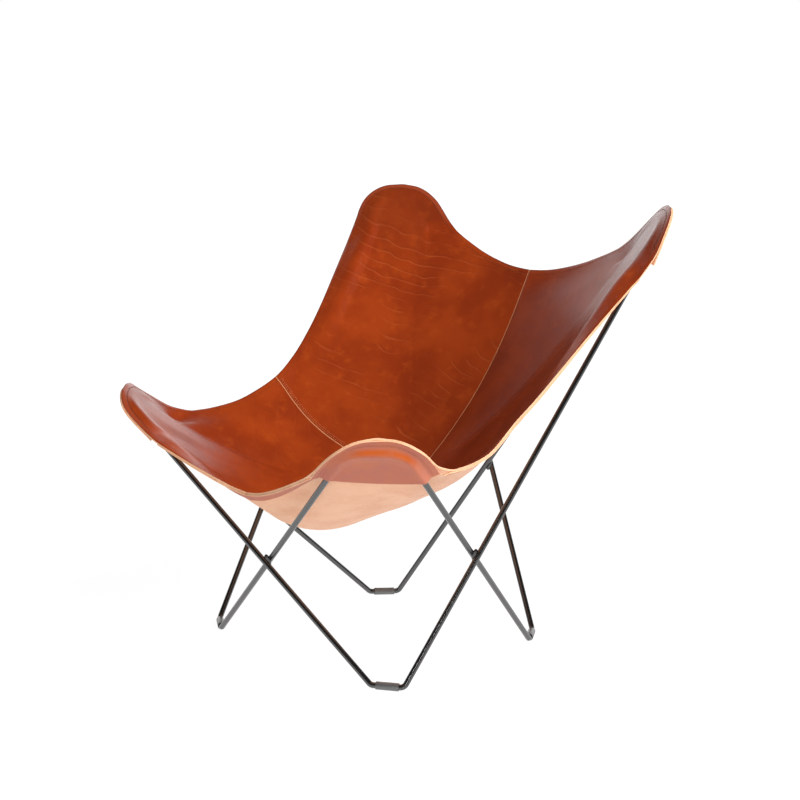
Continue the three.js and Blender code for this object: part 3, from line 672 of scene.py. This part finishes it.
def beside(corner, station, offset, height):
    # a place outward of the rod and above or below it
    if not station['onLeg']:
        return station['spot'] + station['outward'] * offset + station['inside'] * height
    base = station['corner'] + station['outward'] * offset
    drop = -coverSizes['pocketDepth'] - np.dot(base - corner['origin'], corner['upward'])
    hem = base + station['leg'] * drop / np.dot(station['leg'], corner['upward'])
    bendEnd = station['arcSpot'] + station['outward'] * offset
    return mix(hem, bendEnd, station['share']) + station['inside'] * height


def rimValue(name, number):
    # a smooth run through five values along a rim, from one hem over the crown to the other hem
    values = coverSizes[name]
    where = number / (stationCount - 1) * (len(values) - 1)
    low = min(int(where), len(values) - 2)
    here, there = values[low], values[low + 1]
    before = values[low - 1] if low > 0 else 2 * here - there
    after = values[low + 2] if low + 2 < len(values) else 2 * there - here
    return curve(here, there, (there - before) / 2, (after - here) / 2, where - low)


def rimStation(corner, number):
    c, end = coverSizes, corner['end']
    station = cornerStation(corner, number)
    height = panelHeight + rimValue(end + 'RimRise', number)
    focus = corner['origin'] - corner['upward'] * c['rimFan']
    fan = toward(focus, beside(corner, station, c['rimFold'], 0))
    return {'edge': beside(corner, station, rimValue(end + 'RimReach', number), height),
            'fold': beside(corner, station, c['rimFold'], panelHeight),
            'pull': unit(mix(fan, station['outward'], c['pullShare'])), 'swell': c['lobeSwell']}


def middleStation(edge, plan, rise):
    pull = risingHeading(plan, rise)
    return {'edge': edge, 'pull': pull, 'fold': edge + pull * (coverSizes['rimFold'] - coverSizes['rimOffset']),
            'swell': coverSizes['edgeSwell']}


def hemHandle(corner, rim, number, name):
    # the point towards which a free edge leaves a pocket hem
    station = cornerStation(corner, number)
    flare, turnIn = radians(coverSizes[name + 'Flare']), radians(coverSizes['turnIn'])
    way = (station['leg'] * cos(flare) * cos(turnIn) + station['outward'] * sin(flare) * cos(turnIn)
           + station['inside'] * sin(turnIn))
    return rim[number]['edge'] + way * coverSizes[name + 'RimLead']


def freeEdge(start, startHandle, endHandle, end):
    stations = []
    for i in range(coverSizes['edgeSteps'] + 1):
        t = i / coverSizes['edgeSteps']
        edge = (start['edge'] * (1 - t) ** 3 + startHandle * 3 * t * (1 - t) ** 2
                + endHandle * 3 * t * t * (1 - t) + end['edge'] * t ** 3)
        strip = mix(start['fold'] - start['edge'], end['fold'] - end['edge'], ease(t))
        stations.append({
            'edge': edge, 'fold': edge + strip, 'pull': unit(mix(start['pull'], end['pull'], ease(t))),
            'swell': mix(start['swell'], end['swell'], ease(t))})
    return stations


def easeTurns(stations, rims):
    # the turn from a pocket hem into the free edge is spread over a few stations
    hems = [hem for rim in rims for hem in rim]
    for _ in range(coverSizes['easePasses']):
        moved = {}
        for i in (hem + step for hem in hems for step in range(-2, 3)):
            middle = (stations[i - 1]['edge'] + stations[i + 1]['edge']) / 2
            moved[i] = (middle - stations[i]['edge']) / 2
        for i, move in moved.items():
            stations[i]['edge'] = stations[i]['edge'] + move
            if not any(start <= i <= end for start, end in rims):
                stations[i]['fold'] = stations[i]['fold'] + move


def halfOutline(frontCorner, backCorner, side):
    c = coverSizes
    outward = vec(side, 0, 0)
    flankX, flankY, flankZ = c['sideEdge']
    flankWay = risingHeading(vec(0, 1, 0), c['sideHeading'])
    front = middleStation(vec(0, -c['frontEdge'][0], c['frontEdge'][1]), vec(0, -1, 0), c['frontRise'])
    flank = middleStation(vec(side * flankX, -flankY, flankZ),
                          vec(side * flankX, -flankY - seatCentre[1], 0), c['sideRise'])
    back = middleStation(vec(0, *c['backEdge']), vec(0, 1, 0), c['backRise'])
    frontRim = [rimStation(frontCorner, i) for i in range(stationCount)]
    backRim = [rimStation(backCorner, i) for i in range(stationCount)]
    last = stationCount - 1
    frontEdge = freeEdge(front, front['edge'] + outward * c['frontLead'],
                         hemHandle(frontCorner, frontRim, 0, 'front'), frontRim[0])[:-1]
    sideFront = freeEdge(frontRim[last], hemHandle(frontCorner, frontRim, last, 'sideFront'),
                         flank['edge'] - flankWay * c['sideFrontLead'], flank)[1:]
    sideBack = freeEdge(flank, flank['edge'] + flankWay * c['sideBackLead'],
                        hemHandle(backCorner, backRim, 0, 'sideBack'), backRim[0])[1:-1]
    backEdge = freeEdge(backRim[last], hemHandle(backCorner, backRim, last, 'back'),
                        back['edge'] + outward * c['backLead'], back)[1:]
    stations = frontEdge + frontRim + sideFront + sideBack + backRim + backEdge
    frontEnd = len(frontEdge) + last
    seam = frontEnd + len(sideFront)
    backStart = seam + len(sideBack) + 1
    marks = {'frontStart': len(frontEdge), 'frontEnd': frontEnd, 'seam': seam, 'backStart': backStart,
             'backEnd': backStart + last, 'last': len(stations) - 1}
    easeTurns(stations, [(marks[end + 'Start'], marks[end + 'End']) for end in ('front', 'back')])
    return stations, marks


def halfSurface(stations, side):
    c = coverSizes
    riseBack, riseSide = tan(radians(c['riseBack'])), tan(radians(c['riseSide']))
    rays = []
    for station in stations:
        fold, pull, edge = station['fold'], station['pull'], station['edge']
        plan = unit(vec(fold[0] - seatCentre[0], fold[1] - seatCentre[1], 0))
        leave = unit(vec(plan[0], plan[1], riseBack * plan[1] + riseSide * side * plan[0]))
        length = np.linalg.norm(fold - seatCentre)
        leave, pull = leave * (c['swell'] * length), pull * (station['swell'] * length)
        ray = [curve(seatCentre, fold, leave, pull, j / c['rows']) for j in range(c['rows'] + 1)]
        rays.append(ray + [mix(edge, fold, c['stripWidth'] / np.linalg.norm(fold - edge)), edge])
    grid = np.array(rays)
    reach = np.arange(grid.shape[1]) / c['rows']
    # the belly is rounded where the halves meet
    nearMiddle = np.clip(c['bellyWidth'] - np.abs(grid[..., 0]), 0, None)
    grid[..., 2] += riseSide * nearMiddle ** 2 / (2 * c['bellyWidth']) * ease(np.clip(1 - reach, 0, 1))
    # neighbouring rays are evened out, most of all near the seat centre
    share = np.clip(1 - reach ** 3, 0, 1)
    share[0] = 0
    for _ in range(c['passes']):
        before, after = lengths(grid[1:-1] - grid[:-2]) + 1e-6, lengths(grid[2:] - grid[1:-1]) + 1e-6
        middle = (grid[:-2] * after + grid[2:] * before) / (before + after)
        grid[1:-1] = grid[1:-1] + (middle - grid[1:-1]) * share[None, :, None]
    # the front panels bag a little beside the cross seam
    besideSeam = np.exp(-((np.arange(len(grid)) - c['bagStation']) / c['bagWidth']) ** 2)
    bag = c['bagDepth'] * np.sin(pi * np.clip(reach, 0, 1) ** c['bagLean']) ** 2
    grid[..., 2] -= besideSeam[:, None] * bag
    return grid


def refine(grid, axis, numbers):
    # a smooth curve through the points along one axis, read at fractional point numbers
    points = np.moveaxis(grid, axis, 0)
    chord = np.linalg.norm(np.diff(points, axis=0), axis=-1)
    gap = np.maximum(chord.reshape(len(chord), -1).mean(axis=1), 1e-6)[:, None, None]
    slope = np.diff(points, axis=0) / gap
    tangent = np.empty_like(points)
    tangent[1:-1] = (slope[:-1] * gap[1:] + slope[1:] * gap[:-1]) / (gap[:-1] + gap[1:])
    tangent[0] = 1.5 * slope[0] - 0.5 * tangent[1]
    tangent[-1] = 1.5 * slope[-1] - 0.5 * tangent[-2]
    numbers = np.asarray(numbers, float)
    low = np.minimum(numbers.astype(int), len(points) - 2)
    fine = curve(points[low], points[low + 1], tangent[low] * gap[low], tangent[low + 1] * gap[low],
                 (numbers - low)[:, None, None])
    return np.moveaxis(fine, 0, axis)


def meetsInPoint(grid):
    return np.allclose(grid[:, 0], grid[0, 0], atol=1e-6)


def gridNormals(grid, facing):
    alongRows, alongColumns = np.gradient(grid, axis=0), np.gradient(grid, axis=1)
    if meetsInPoint(grid):
        alongRows[:, 0] = alongRows[:, 1]
    normals = np.cross(alongRows, alongColumns)
    normals /= np.maximum(lengths(normals), 1e-9)
    return normals * np.sign((normals * facing).sum(axis=-1).mean())


rimShape = {'curl': 1.2, 'curlWidth': 8, 'overRod': 0.9, 'rodWidth': 9, 'groove': 1.2, 'grooveWidth': 13,
            'grooveBehind': 20}
# point numbers along a ray, closer together towards the rim, where strips start at number 9
rowNumbers = np.concatenate([np.linspace(0, 6, 19)[:-1], np.linspace(6, 8, 21)[:-1],
                             np.linspace(8, 9, 5)[:-1], np.linspace(9, 10, 11)])


def coverHalf(frontCorner, backCorner, side):
    stations, marks = halfOutline(frontCorner, backCorner, side)
    finer, last = coverSizes['finer'], stationCount - 1
    columnNumbers = np.linspace(0, marks['last'], marks['last'] * finer + 1)
    grid = refine(refine(halfSurface(stations, side), 0, columnNumbers), 1, rowNumbers)
    grid[0, :, 0] = 0
    grid[-1, :, 0] = 0
    normals = gridNormals(grid, vec(0, -1, 1))
    # distance from the cut edge along each ray
    inward = lengthAlong(np.moveaxis(grid, 1, 0)[::-1])[::-1].T
    # how far a column is inside a lobe, and where the rod lies under it, in whole millimetres
    inLobe = np.zeros(len(grid))
    rodDepth = np.full(len(grid), coverSizes['rimOffset'])
    for end in ('front', 'back'):
        for i, number in enumerate(columnNumbers - marks[end + 'Start']):
            if 0 <= number <= last:
                inLobe[i] = ease(min(1, min(number, last - number) / coverSizes['lobeFade']))
                rodDepth[i] = int(rimValue(end + 'RimReach', number))
    r = rimShape
    fromRod = inward - rodDepth[:, None]
    lift = r['overRod'] * np.exp(-(fromRod / r['rodWidth']) ** 2)
    lift = lift - r['groove'] * np.exp(-((fromRod - r['grooveBehind']) / r['grooveWidth']) ** 2)
    curl = np.clip(1 - inward / r['curlWidth'], 0, 1) ** 2 * r['curl']
    grid = grid + normals * (lift * inLobe[:, None] - curl)[..., None]
    normals = gridNormals(grid, vec(0, -1, 1))
    for column in (0, -1):
        normals[column, :, 0] = 0
        normals[column] /= lengths(normals[column])
    normals[:, 0] = unit(normals[0, 1] * vec(0, 1, 1) + normals[-1, 1] * vec(0, 1, 1))
    marks = {key: value * finer for key, value in marks.items()}
    # distance from the nearest seam, along the rows
    reach = lengthAlong(grid)
    fromSeam = np.minimum(np.abs(reach - reach[marks['seam']]), np.minimum(reach, reach[-1] - reach))
    zone = np.stack([fromSeam, np.repeat(inLobe[:, None], grid.shape[1], 1) / mm], axis=-1)
    return {'grid': grid, 'normals': normals, 'inward': inward, 'along': lengthAlong(grid[:, -1]),
            'marks': marks, 'zone': zone}


corners = {key: coverCorner(rod, key.split('_')[0]) for key, rod in rods.items()}
halves = {
    'left': coverHalf(corners['front_left'], corners['back_left'], -1),
    'right': coverHalf(corners['front_right'], corners['back_right'], 1),
}
print('cover laid out')


# sheets of leather

def surfaceArea(grid):
    a, b, c, d = grid[:-1, :-1], grid[1:, :-1], grid[1:, 1:], grid[:-1, 1:]
    area = np.linalg.norm(np.cross(b - a, c - a), axis=-1) + np.linalg.norm(np.cross(c - a, d - a), axis=-1)
    return float(area.sum()) / 2 * mm * mm


def rimMap(along, inward):
    # place along the rim and distance from the cut edge, for a grid of points
    return np.stack([np.repeat(along[:, None], inward.shape[1], 1), inward], axis=-1)


def buildSheet(name, grid, normals, sizes, dyedFace, maps, node):
    # a grid of points becomes a closed sheet: dyed face, flesh face and cut edge
    rows, columns = grid.shape[:2]
    number = np.arange(rows * columns).reshape(rows, columns)
    if meetsInPoint(grid):
        number[:, 0] = number[0, 0]
    quads = np.stack([number[:-1, :-1], number[1:, :-1], number[1:, 1:], number[:-1, 1:]], axis=-1)
    quads = quads.reshape(-1, 4)
    spots, ways = grid.reshape(-1, 3), normals.reshape(-1, 3)
    # a quad near the middle tells which way round the quads go
    a, b, c, _ = quads[len(quads) // 2 + 3]
    if np.dot(np.cross(spots[b] - spots[a], spots[c] - spots[a]), ways[a]) < 0:
        quads = quads[:, ::-1]
    count = len(spots)
    faces, tags = [], []

    def addFace(face, tag):
        faces.append([int(v) for i, v in enumerate(face) if v != face[i - 1]])
        tags.append(tag)
    for quad in quads:
        addFace(quad, 0)
        addFace(quad[::-1] + count, 1)
    edges = dict.fromkeys(pair for face in faces[::2] for pair in zip(face, face[1:] + face[:1]))
    for p, q in edges:
        if (q, p) not in edges:
            addFace([p, p + count, q + count, q], 2)
    points = np.concatenate([spots + ways * sizes['thickness'] / 2, spots - ways * sizes['thickness'] / 2]) * mm
    used = np.unique(np.concatenate([np.array(face) for face in faces]))
    order = np.full(len(points), -1)
    order[used] = np.arange(len(used))
    mesh = bpy.data.meshes.new(name)
    mesh.from_pydata(points[used].tolist(), [], [[int(order[v]) for v in face] for face in faces])
    for material in (dyedFace, fleshSide, cutEdge):
        mesh.materials.append(material)
    mesh.polygons.foreach_set('material_index', tags)
    loops = np.empty(len(mesh.loops), int)
    mesh.loops.foreach_get('vertex_index', loops)
    for mapName, values in maps.items():
        flat = np.concatenate([values.reshape(-1, 2)] * 2)[used] * mm
        mesh.uv_layers.new(name=mapName).data.foreach_set('uv', flat[loops].reshape(-1))
    piece = addObject(name, mesh)
    bevelEdges(piece, sizes['bevel'], 2, material=2)
    finishPiece(piece, 60, node)
    return piece


# one stitch, copied along each row
stitchSizes = {'pitch': 5.4, 'length': 4.0, 'width': 1.1, 'height': 0.8, 'proud': 0.15, 'rim': 11.5,
               'seamRows': (4.5, 9.0), 'fromCentre': 8, 'toRim': 3, 'seamColumns': 30}
clearSelection()
bpy.ops.mesh.primitive_uv_sphere_add(segments=6, ring_count=4, radius=0.5, location=(0, 0, 0),
                                     rotation=(0, pi / 2, 0))
pattern = settle('stitchPattern')
patternSpots = np.array([v.co[:] for v in pattern.data.vertices])
patternFaces = [list(p.vertices) for p in pattern.data.polygons]
bpy.data.objects.remove(pattern)


def buildStitches(name, paths, thread):
    # each path is places and normals on the leather, stitches lie along it at an even pitch
    spots, faces = [], []
    s = stitchSizes
    local = patternSpots * (s['length'], s['width'], s['height'])
    for places, ways in paths:
        reach = lengthAlong(places)
        for at in np.arange(s['pitch'] / 2, reach[-1] - s['pitch'] / 2, s['pitch']):
            along = toward(readAt(at - 1, reach, places), readAt(at + 1, reach, places))
            up = readAt(at, reach, ways)
            up = unit(up - along * np.dot(up, along))
            across, base = np.cross(up, along), readAt(at, reach, places) + up * s['proud']
            first = len(spots) * len(local)
            spots.append((base + local[:, :1] * along + local[:, 1:2] * across + local[:, 2:] * up) * mm)
            faces += [[v + first for v in face] for face in patternFaces]
    mesh = bpy.data.meshes.new(name)
    mesh.from_pydata(np.concatenate(spots).tolist(), [], faces)
    mesh.materials.append(thread)
    mesh.shade_smooth()
    piece = addObject(name, mesh)
    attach(piece, 'root')
    return piece


def onFace(row):
    # places and normals of a row, lifted from the middle of the leather to its dyed face
    places, ways = (np.array(part) for part in zip(*row))
    ways = ways / lengths(ways)
    return places + ways * (coverSizes['thickness'] / 2), ways


def rowAtDepth(half, first, last, depth):
    # a row at one distance from the cut edge
    return onFace([
        [readAt(depth, half['inward'][i, ::-1], half[what][i, ::-1]) for what in ('grid', 'normals')]
        for i in range(first, last + 1)])


def rowBesideSeam(half, distance):
    # a row at one distance from the cross seam on its back side, from near the seat centre to the rim
    run = slice(half['marks']['seam'], half['marks']['seam'] + stitchSizes['seamColumns'])
    row = []
    for j in range(stitchSizes['fromCentre'], len(rowNumbers) - stitchSizes['toRim']):
        reach = lengthAlong(half['grid'][run, j])
        if reach[-1] > distance:
            row.append([readAt(distance, reach, half[what][run, j]) for what in ('grid', 'normals')])
    return onFace(row)


for sideName, half in halves.items():
    marks = half['marks']
    for endName, first, last in (('front', 0, marks['seam']), ('back', marks['seam'], marks['last'])):
        key = endName + '_' + sideName
        run = slice(first, last + 1)
        grid = half['grid'][run]
        maps = {'rim': rimMap(half['along'][run], half['inward'][run]), 'zone': half['zone'][run]}
        panel = buildSheet(key + '_cover', grid, half['normals'][run], coverSizes, grainFaces[key], maps,
                           key + '_panel')
        paths = [rowAtDepth(half, first, last, stitchSizes['rim'])]
        rows = [buildStitches(key + '_rim_stitches', paths, rimThread)]
        if endName == 'back':
            paths = [rowBesideSeam(half, distance) for distance in stitchSizes['seamRows']]
            rows.append(buildStitches(sideName + '_seam_stitches', paths, seamThread))
        area = surfaceArea(grid)
        coverSizes[endName + 'Flat']
        key + '_bent_rod'
        print(key, 'area', round(area, 4))


# pockets, each a rim band, a round over the rod and a flat part down to the hem

pocketSizes = {
    'thickness': 3, 'bevel': 0.6, 'bandShare': 0.53, 'inset': 12, 'hemDip': 4, 'hemTaper': 4, 'finer': 6,
    'recess': 3.2, 'recessRise': 4, 'recessFade': 0.75, 'archPower': 0.6, 'wrapEnd': -112, 'stitchRow': 5,
    'fill': 14, 'wrapSteps': 12, 'bandSteps': 8, 'gapSteps': 3, 'mapLength': 300, 'flat': (0.30, 0.13),
}
pocketWrap = rodRadius + coverSizes['fitGap'] + pocketSizes['thickness'] / 2


def pocketProfile(reach, rise):
    # offsets and heights across the rod, from the rim to the far side of the rod
    p, fold = pocketSizes, coverSizes['rimFold']
    slope = atan2(rise, reach - fold)
    apart = (coverSizes['thickness'] + p['thickness']) / 2 + coverSizes['fitGap']

    def onBand(offset):
        return np.array((offset, panelHeight + (offset - fold) * tan(slope) - apart / cos(slope)))

    def onRod(angle):
        return pocketWrap * np.array((cos(angle), sin(angle)))
    rimEnd, bandEnd = onBand(reach), onBand(reach * (1 - p['bandShare']))
    touch = atan2(bandEnd[1], bandEnd[0]) - acos(pocketWrap / hypot(*bandEnd))
    final = radians(p['wrapEnd'])
    return ([mix(rimEnd, bandEnd, k / p['bandSteps']) for k in range(p['bandSteps'] + 1)]
            + [mix(bandEnd, onRod(touch), k / p['gapSteps']) for k in range(1, p['gapSteps'])]
            + [onRod(mix(touch, final, k / p['wrapSteps'])) for k in range(p['wrapSteps'] + 1)])


def buildPocket(key):
    p = pocketSizes
    corner, last = corners[key], stationCount - 1
    hems = [beside(corner, cornerStation(corner, n), -p['inset'], -pocketWrap) for n in (0, last)]
    numbers = np.linspace(0, last, last * p['finer'] + 1)
    grid, depths = [], []
    for number in numbers:
        station = cornerStation(corner, number)
        fromHem = min(number, last - number)
        reach = rimValue(corner['end'] + 'RimReach', number) - p['hemTaper'] * (1 - ease(min(1, fromHem / 2)))
        profile = pocketProfile(reach, rimValue(corner['end'] + 'RimRise', number))
        column = [beside(corner, station, *pair) for pair in profile]
        # the flat part starts at the rod, dips towards the panel and ends at the hem
        across = number / last
        hem = mix(*hems, across) - corner['upward'] * p['hemDip'] * 4 * across * (1 - across)
        recess = p['recess'] * sin(pi * across) ** p['archPower']
        inner, depth = column[-1], lengthAlong(column)
        for k in range(1, p['fill'] + 1):
            share = k / p['fill']
            dip = recess * ease(min(1, share * p['recessRise'])) * (1 - p['recessFade'] * ease(share))
            column.append(mix(inner, hem, share) + corner['inside'] * dip)
        step = np.linalg.norm(hem - inner) / p['fill']
        depths.append(np.concatenate([depth, depth[-1] + step * np.arange(1, p['fill'] + 1)]))
        grid.append(column)
    grid, inward = np.array(grid), np.array(depths)
    normals = gridNormals(grid, -corner['inside'])
    maps = {'rim': rimMap(numbers / last * p['mapLength'], inward)}
    pocket = buildSheet(key + '_sewn_pocket', grid, normals, p, pocketSide, maps,
                        key + '_pocket')
    path = np.array([readAt(stitchSizes['rim'], depth, column) for depth, column in zip(inward, grid)])
    ways = normals[:, p['stitchRow']]
    stitches = buildStitches(key + '_pocket_stitches', [(path + ways * p['thickness'] / 2, ways)], pocketThread)
    area = surfaceArea(grid)
    key + '_bent_rod'
    print(key, 'pocket area', round(area, 4))


for key in corners:
    buildPocket(key)


# strips sewn under the free edges

stripSizes = {'thickness': 3, 'bevel': 0.6, 'trim': 2, 'leastWidth': 0.021, 'spare': 1.02}


def buildStrip(name, parts):
    # parts are runs of cover columns, one after another
    s = stripSizes
    first = int(np.searchsorted(rowNumbers, 9))
    spots, ways, inward = (np.concatenate([half[what][run, first:] for half, run in parts])
                           for what in ('grid', 'normals', 'inward'))
    grid = spots - ways * ((coverSizes['thickness'] + s['thickness']) / 2 + coverSizes['fitGap'])
    along = lengthAlong(spots[:, -1])
    strip = buildSheet(name + '_edge_binding', grid, -ways, s, stripSide, {'rim': rimMap(along, inward)},
                       name + '_edge_strip')
    area, length = surfaceArea(grid), float(along[-1]) * mm
    print(name, 'strip area', round(area, 4), 'length', round(length, 3))


left, right = halves['left'], halves['right']
marks, trim = left['marks'], stripSizes['trim']
for sideName, half in halves.items():
    buildStrip(sideName, [(half, np.arange(marks['frontEnd'] + trim, marks['backStart'] - trim + 1))])
buildStrip('front', [(left, np.arange(marks['frontStart'] - trim, 0, -1)),
                     (right, np.arange(0, marks['frontStart'] - trim + 1))])
buildStrip('back', [(left, np.arange(marks['backEnd'] + trim, marks['last'])),
                    (right, np.arange(marks['last'], marks['backEnd'] + trim - 1, -1))])
print('pockets and strips made')


# floor, light and camera

stageLook = {'floor': 0.93, 'glow': 1.12, 'nearGlow': 0.85, 'glowFrom': 0.9, 'glowTo': 3.2, 'size': 60,
             'ambient': 0.25, 'wall': 1.8, 'room': 0.03, 'wallTop': (0.3, 0.8), 'wallWay': (-0.7, 0.7, 0.1),
             'wallEdge': (0.2, 0.8)}
white = (1, 1, 1, 1)
clearSelection()
bpy.ops.mesh.primitive_plane_add(size=stageLook['size'], location=(0, 0, 0))
floor = settle('floor')
floorMaterial, tree = newMaterial('paleFloor')
# matte near the chair, so that it takes the shadow, and running out to plain white
fromMiddle = makeNode(tree, 'VectorMath', {0: objectPlace(tree)}, 'Value', operation='LENGTH')
far = fromMiddle.above(stageLook['glowFrom'], stageLook['glowTo'])
share = far * (1 - stageLook['nearGlow']) + stageLook['nearGlow']
matte = makeNode(tree, 'BsdfDiffuse', {'Color': (stageLook['floor'],) * 3 + (1,)}, 'BSDF')
glow = makeNode(tree, 'Emission', {'Color': white, 'Strength': stageLook['glow']})
makeOutput(tree, 'Material', makeNode(tree, 'MixShader', {0: share, 1: matte, 2: glow}))
floor.data.materials.append(floorMaterial)

world = bpy.data.worlds.new('studio')
bpy.context.scene.world = world
world.use_nodes = True
tree = world.node_tree
tree.nodes.clear()
# white for the camera, and for reflections a bright wall behind the chair in a dim room
glossy, seen, through = (
    makeNode(tree, 'LightPath', {}, 'Is ' + kind + ' Ray') for kind in ('Glossy', 'Camera', 'Transmission'))
way = makeNode(tree, 'TexCoord', {}, 'Generated')
behind = makeNode(tree, 'VectorMath', {0: way, 1: stageLook['wallWay']}, 'Value', operation='DOT_PRODUCT')
wall = behind.above(*stageLook['wallEdge']) * way.part('Z').below(*stageLook['wallTop'])
wall = wall * (stageLook['wall'] - stageLook['room']) + stageLook['room']
direct = seen.calc('MAXIMUM', through)
strength = direct + (1 - direct) * (glossy * wall + (1 - glossy) * stageLook['ambient'])
makeOutput(tree, 'World', makeNode(tree, 'Background', {'Color': white, 'Strength': strength}))

cameraLook = {'azimuth': 45.352, 'elevation': 9.8, 'roll': 1.499, 'distance': 2.83311, 'lens': 79.626,
              'sensor': 36, 'target': (0.56041, -0.52121, 0.62933)}


def aimCamera():
    a, e, r = (radians(cameraLook[key]) for key in ('azimuth', 'elevation', 'roll'))
    back = Vector((sin(a) * cos(e), -cos(a) * cos(e), sin(e)))
    right = Vector((cos(a), sin(a), 0))
    above = back.cross(right)
    across = right * cos(r) + above * sin(r)
    upward = above * cos(r) - right * sin(r)
    data = bpy.data.cameras.new('camera')
    data.lens, data.sensor_width = cameraLook['lens'], cameraLook['sensor']
    camera = addObject('camera', data)
    spot = Vector(cameraLook['target']) + back * cameraLook['distance']
    camera.matrix_world = Matrix.Translation(spot) @ Matrix((across, upward, back)).transposed().to_4x4()
    bpy.context.scene.camera = camera


aimCamera()

lamps = {
    'keyLamp': {'at': (5.2, 0.3, 4.5), 'size': 4, 'power': 525, 'shown': False},
    'frontLamp': {'at': (3.0, -3.2, 1.5), 'size': 0.5, 'power': 14, 'shown': True},
}
for name, lamp in lamps.items():
    data = bpy.data.lights.new(name, 'AREA')
    data.size, data.energy = lamp['size'], lamp['power']
    light = addObject(name, data)
    light.location = lamp['at']
    light.visible_glossy = lamp['shown']
    light.rotation_euler = (Vector((0, 0, 0.4)) - light.location).to_track_quat('-Z', 'Y').to_euler()

bpy.context.scene.view_settings.view_transform = 'Standard'

print('scene ready')
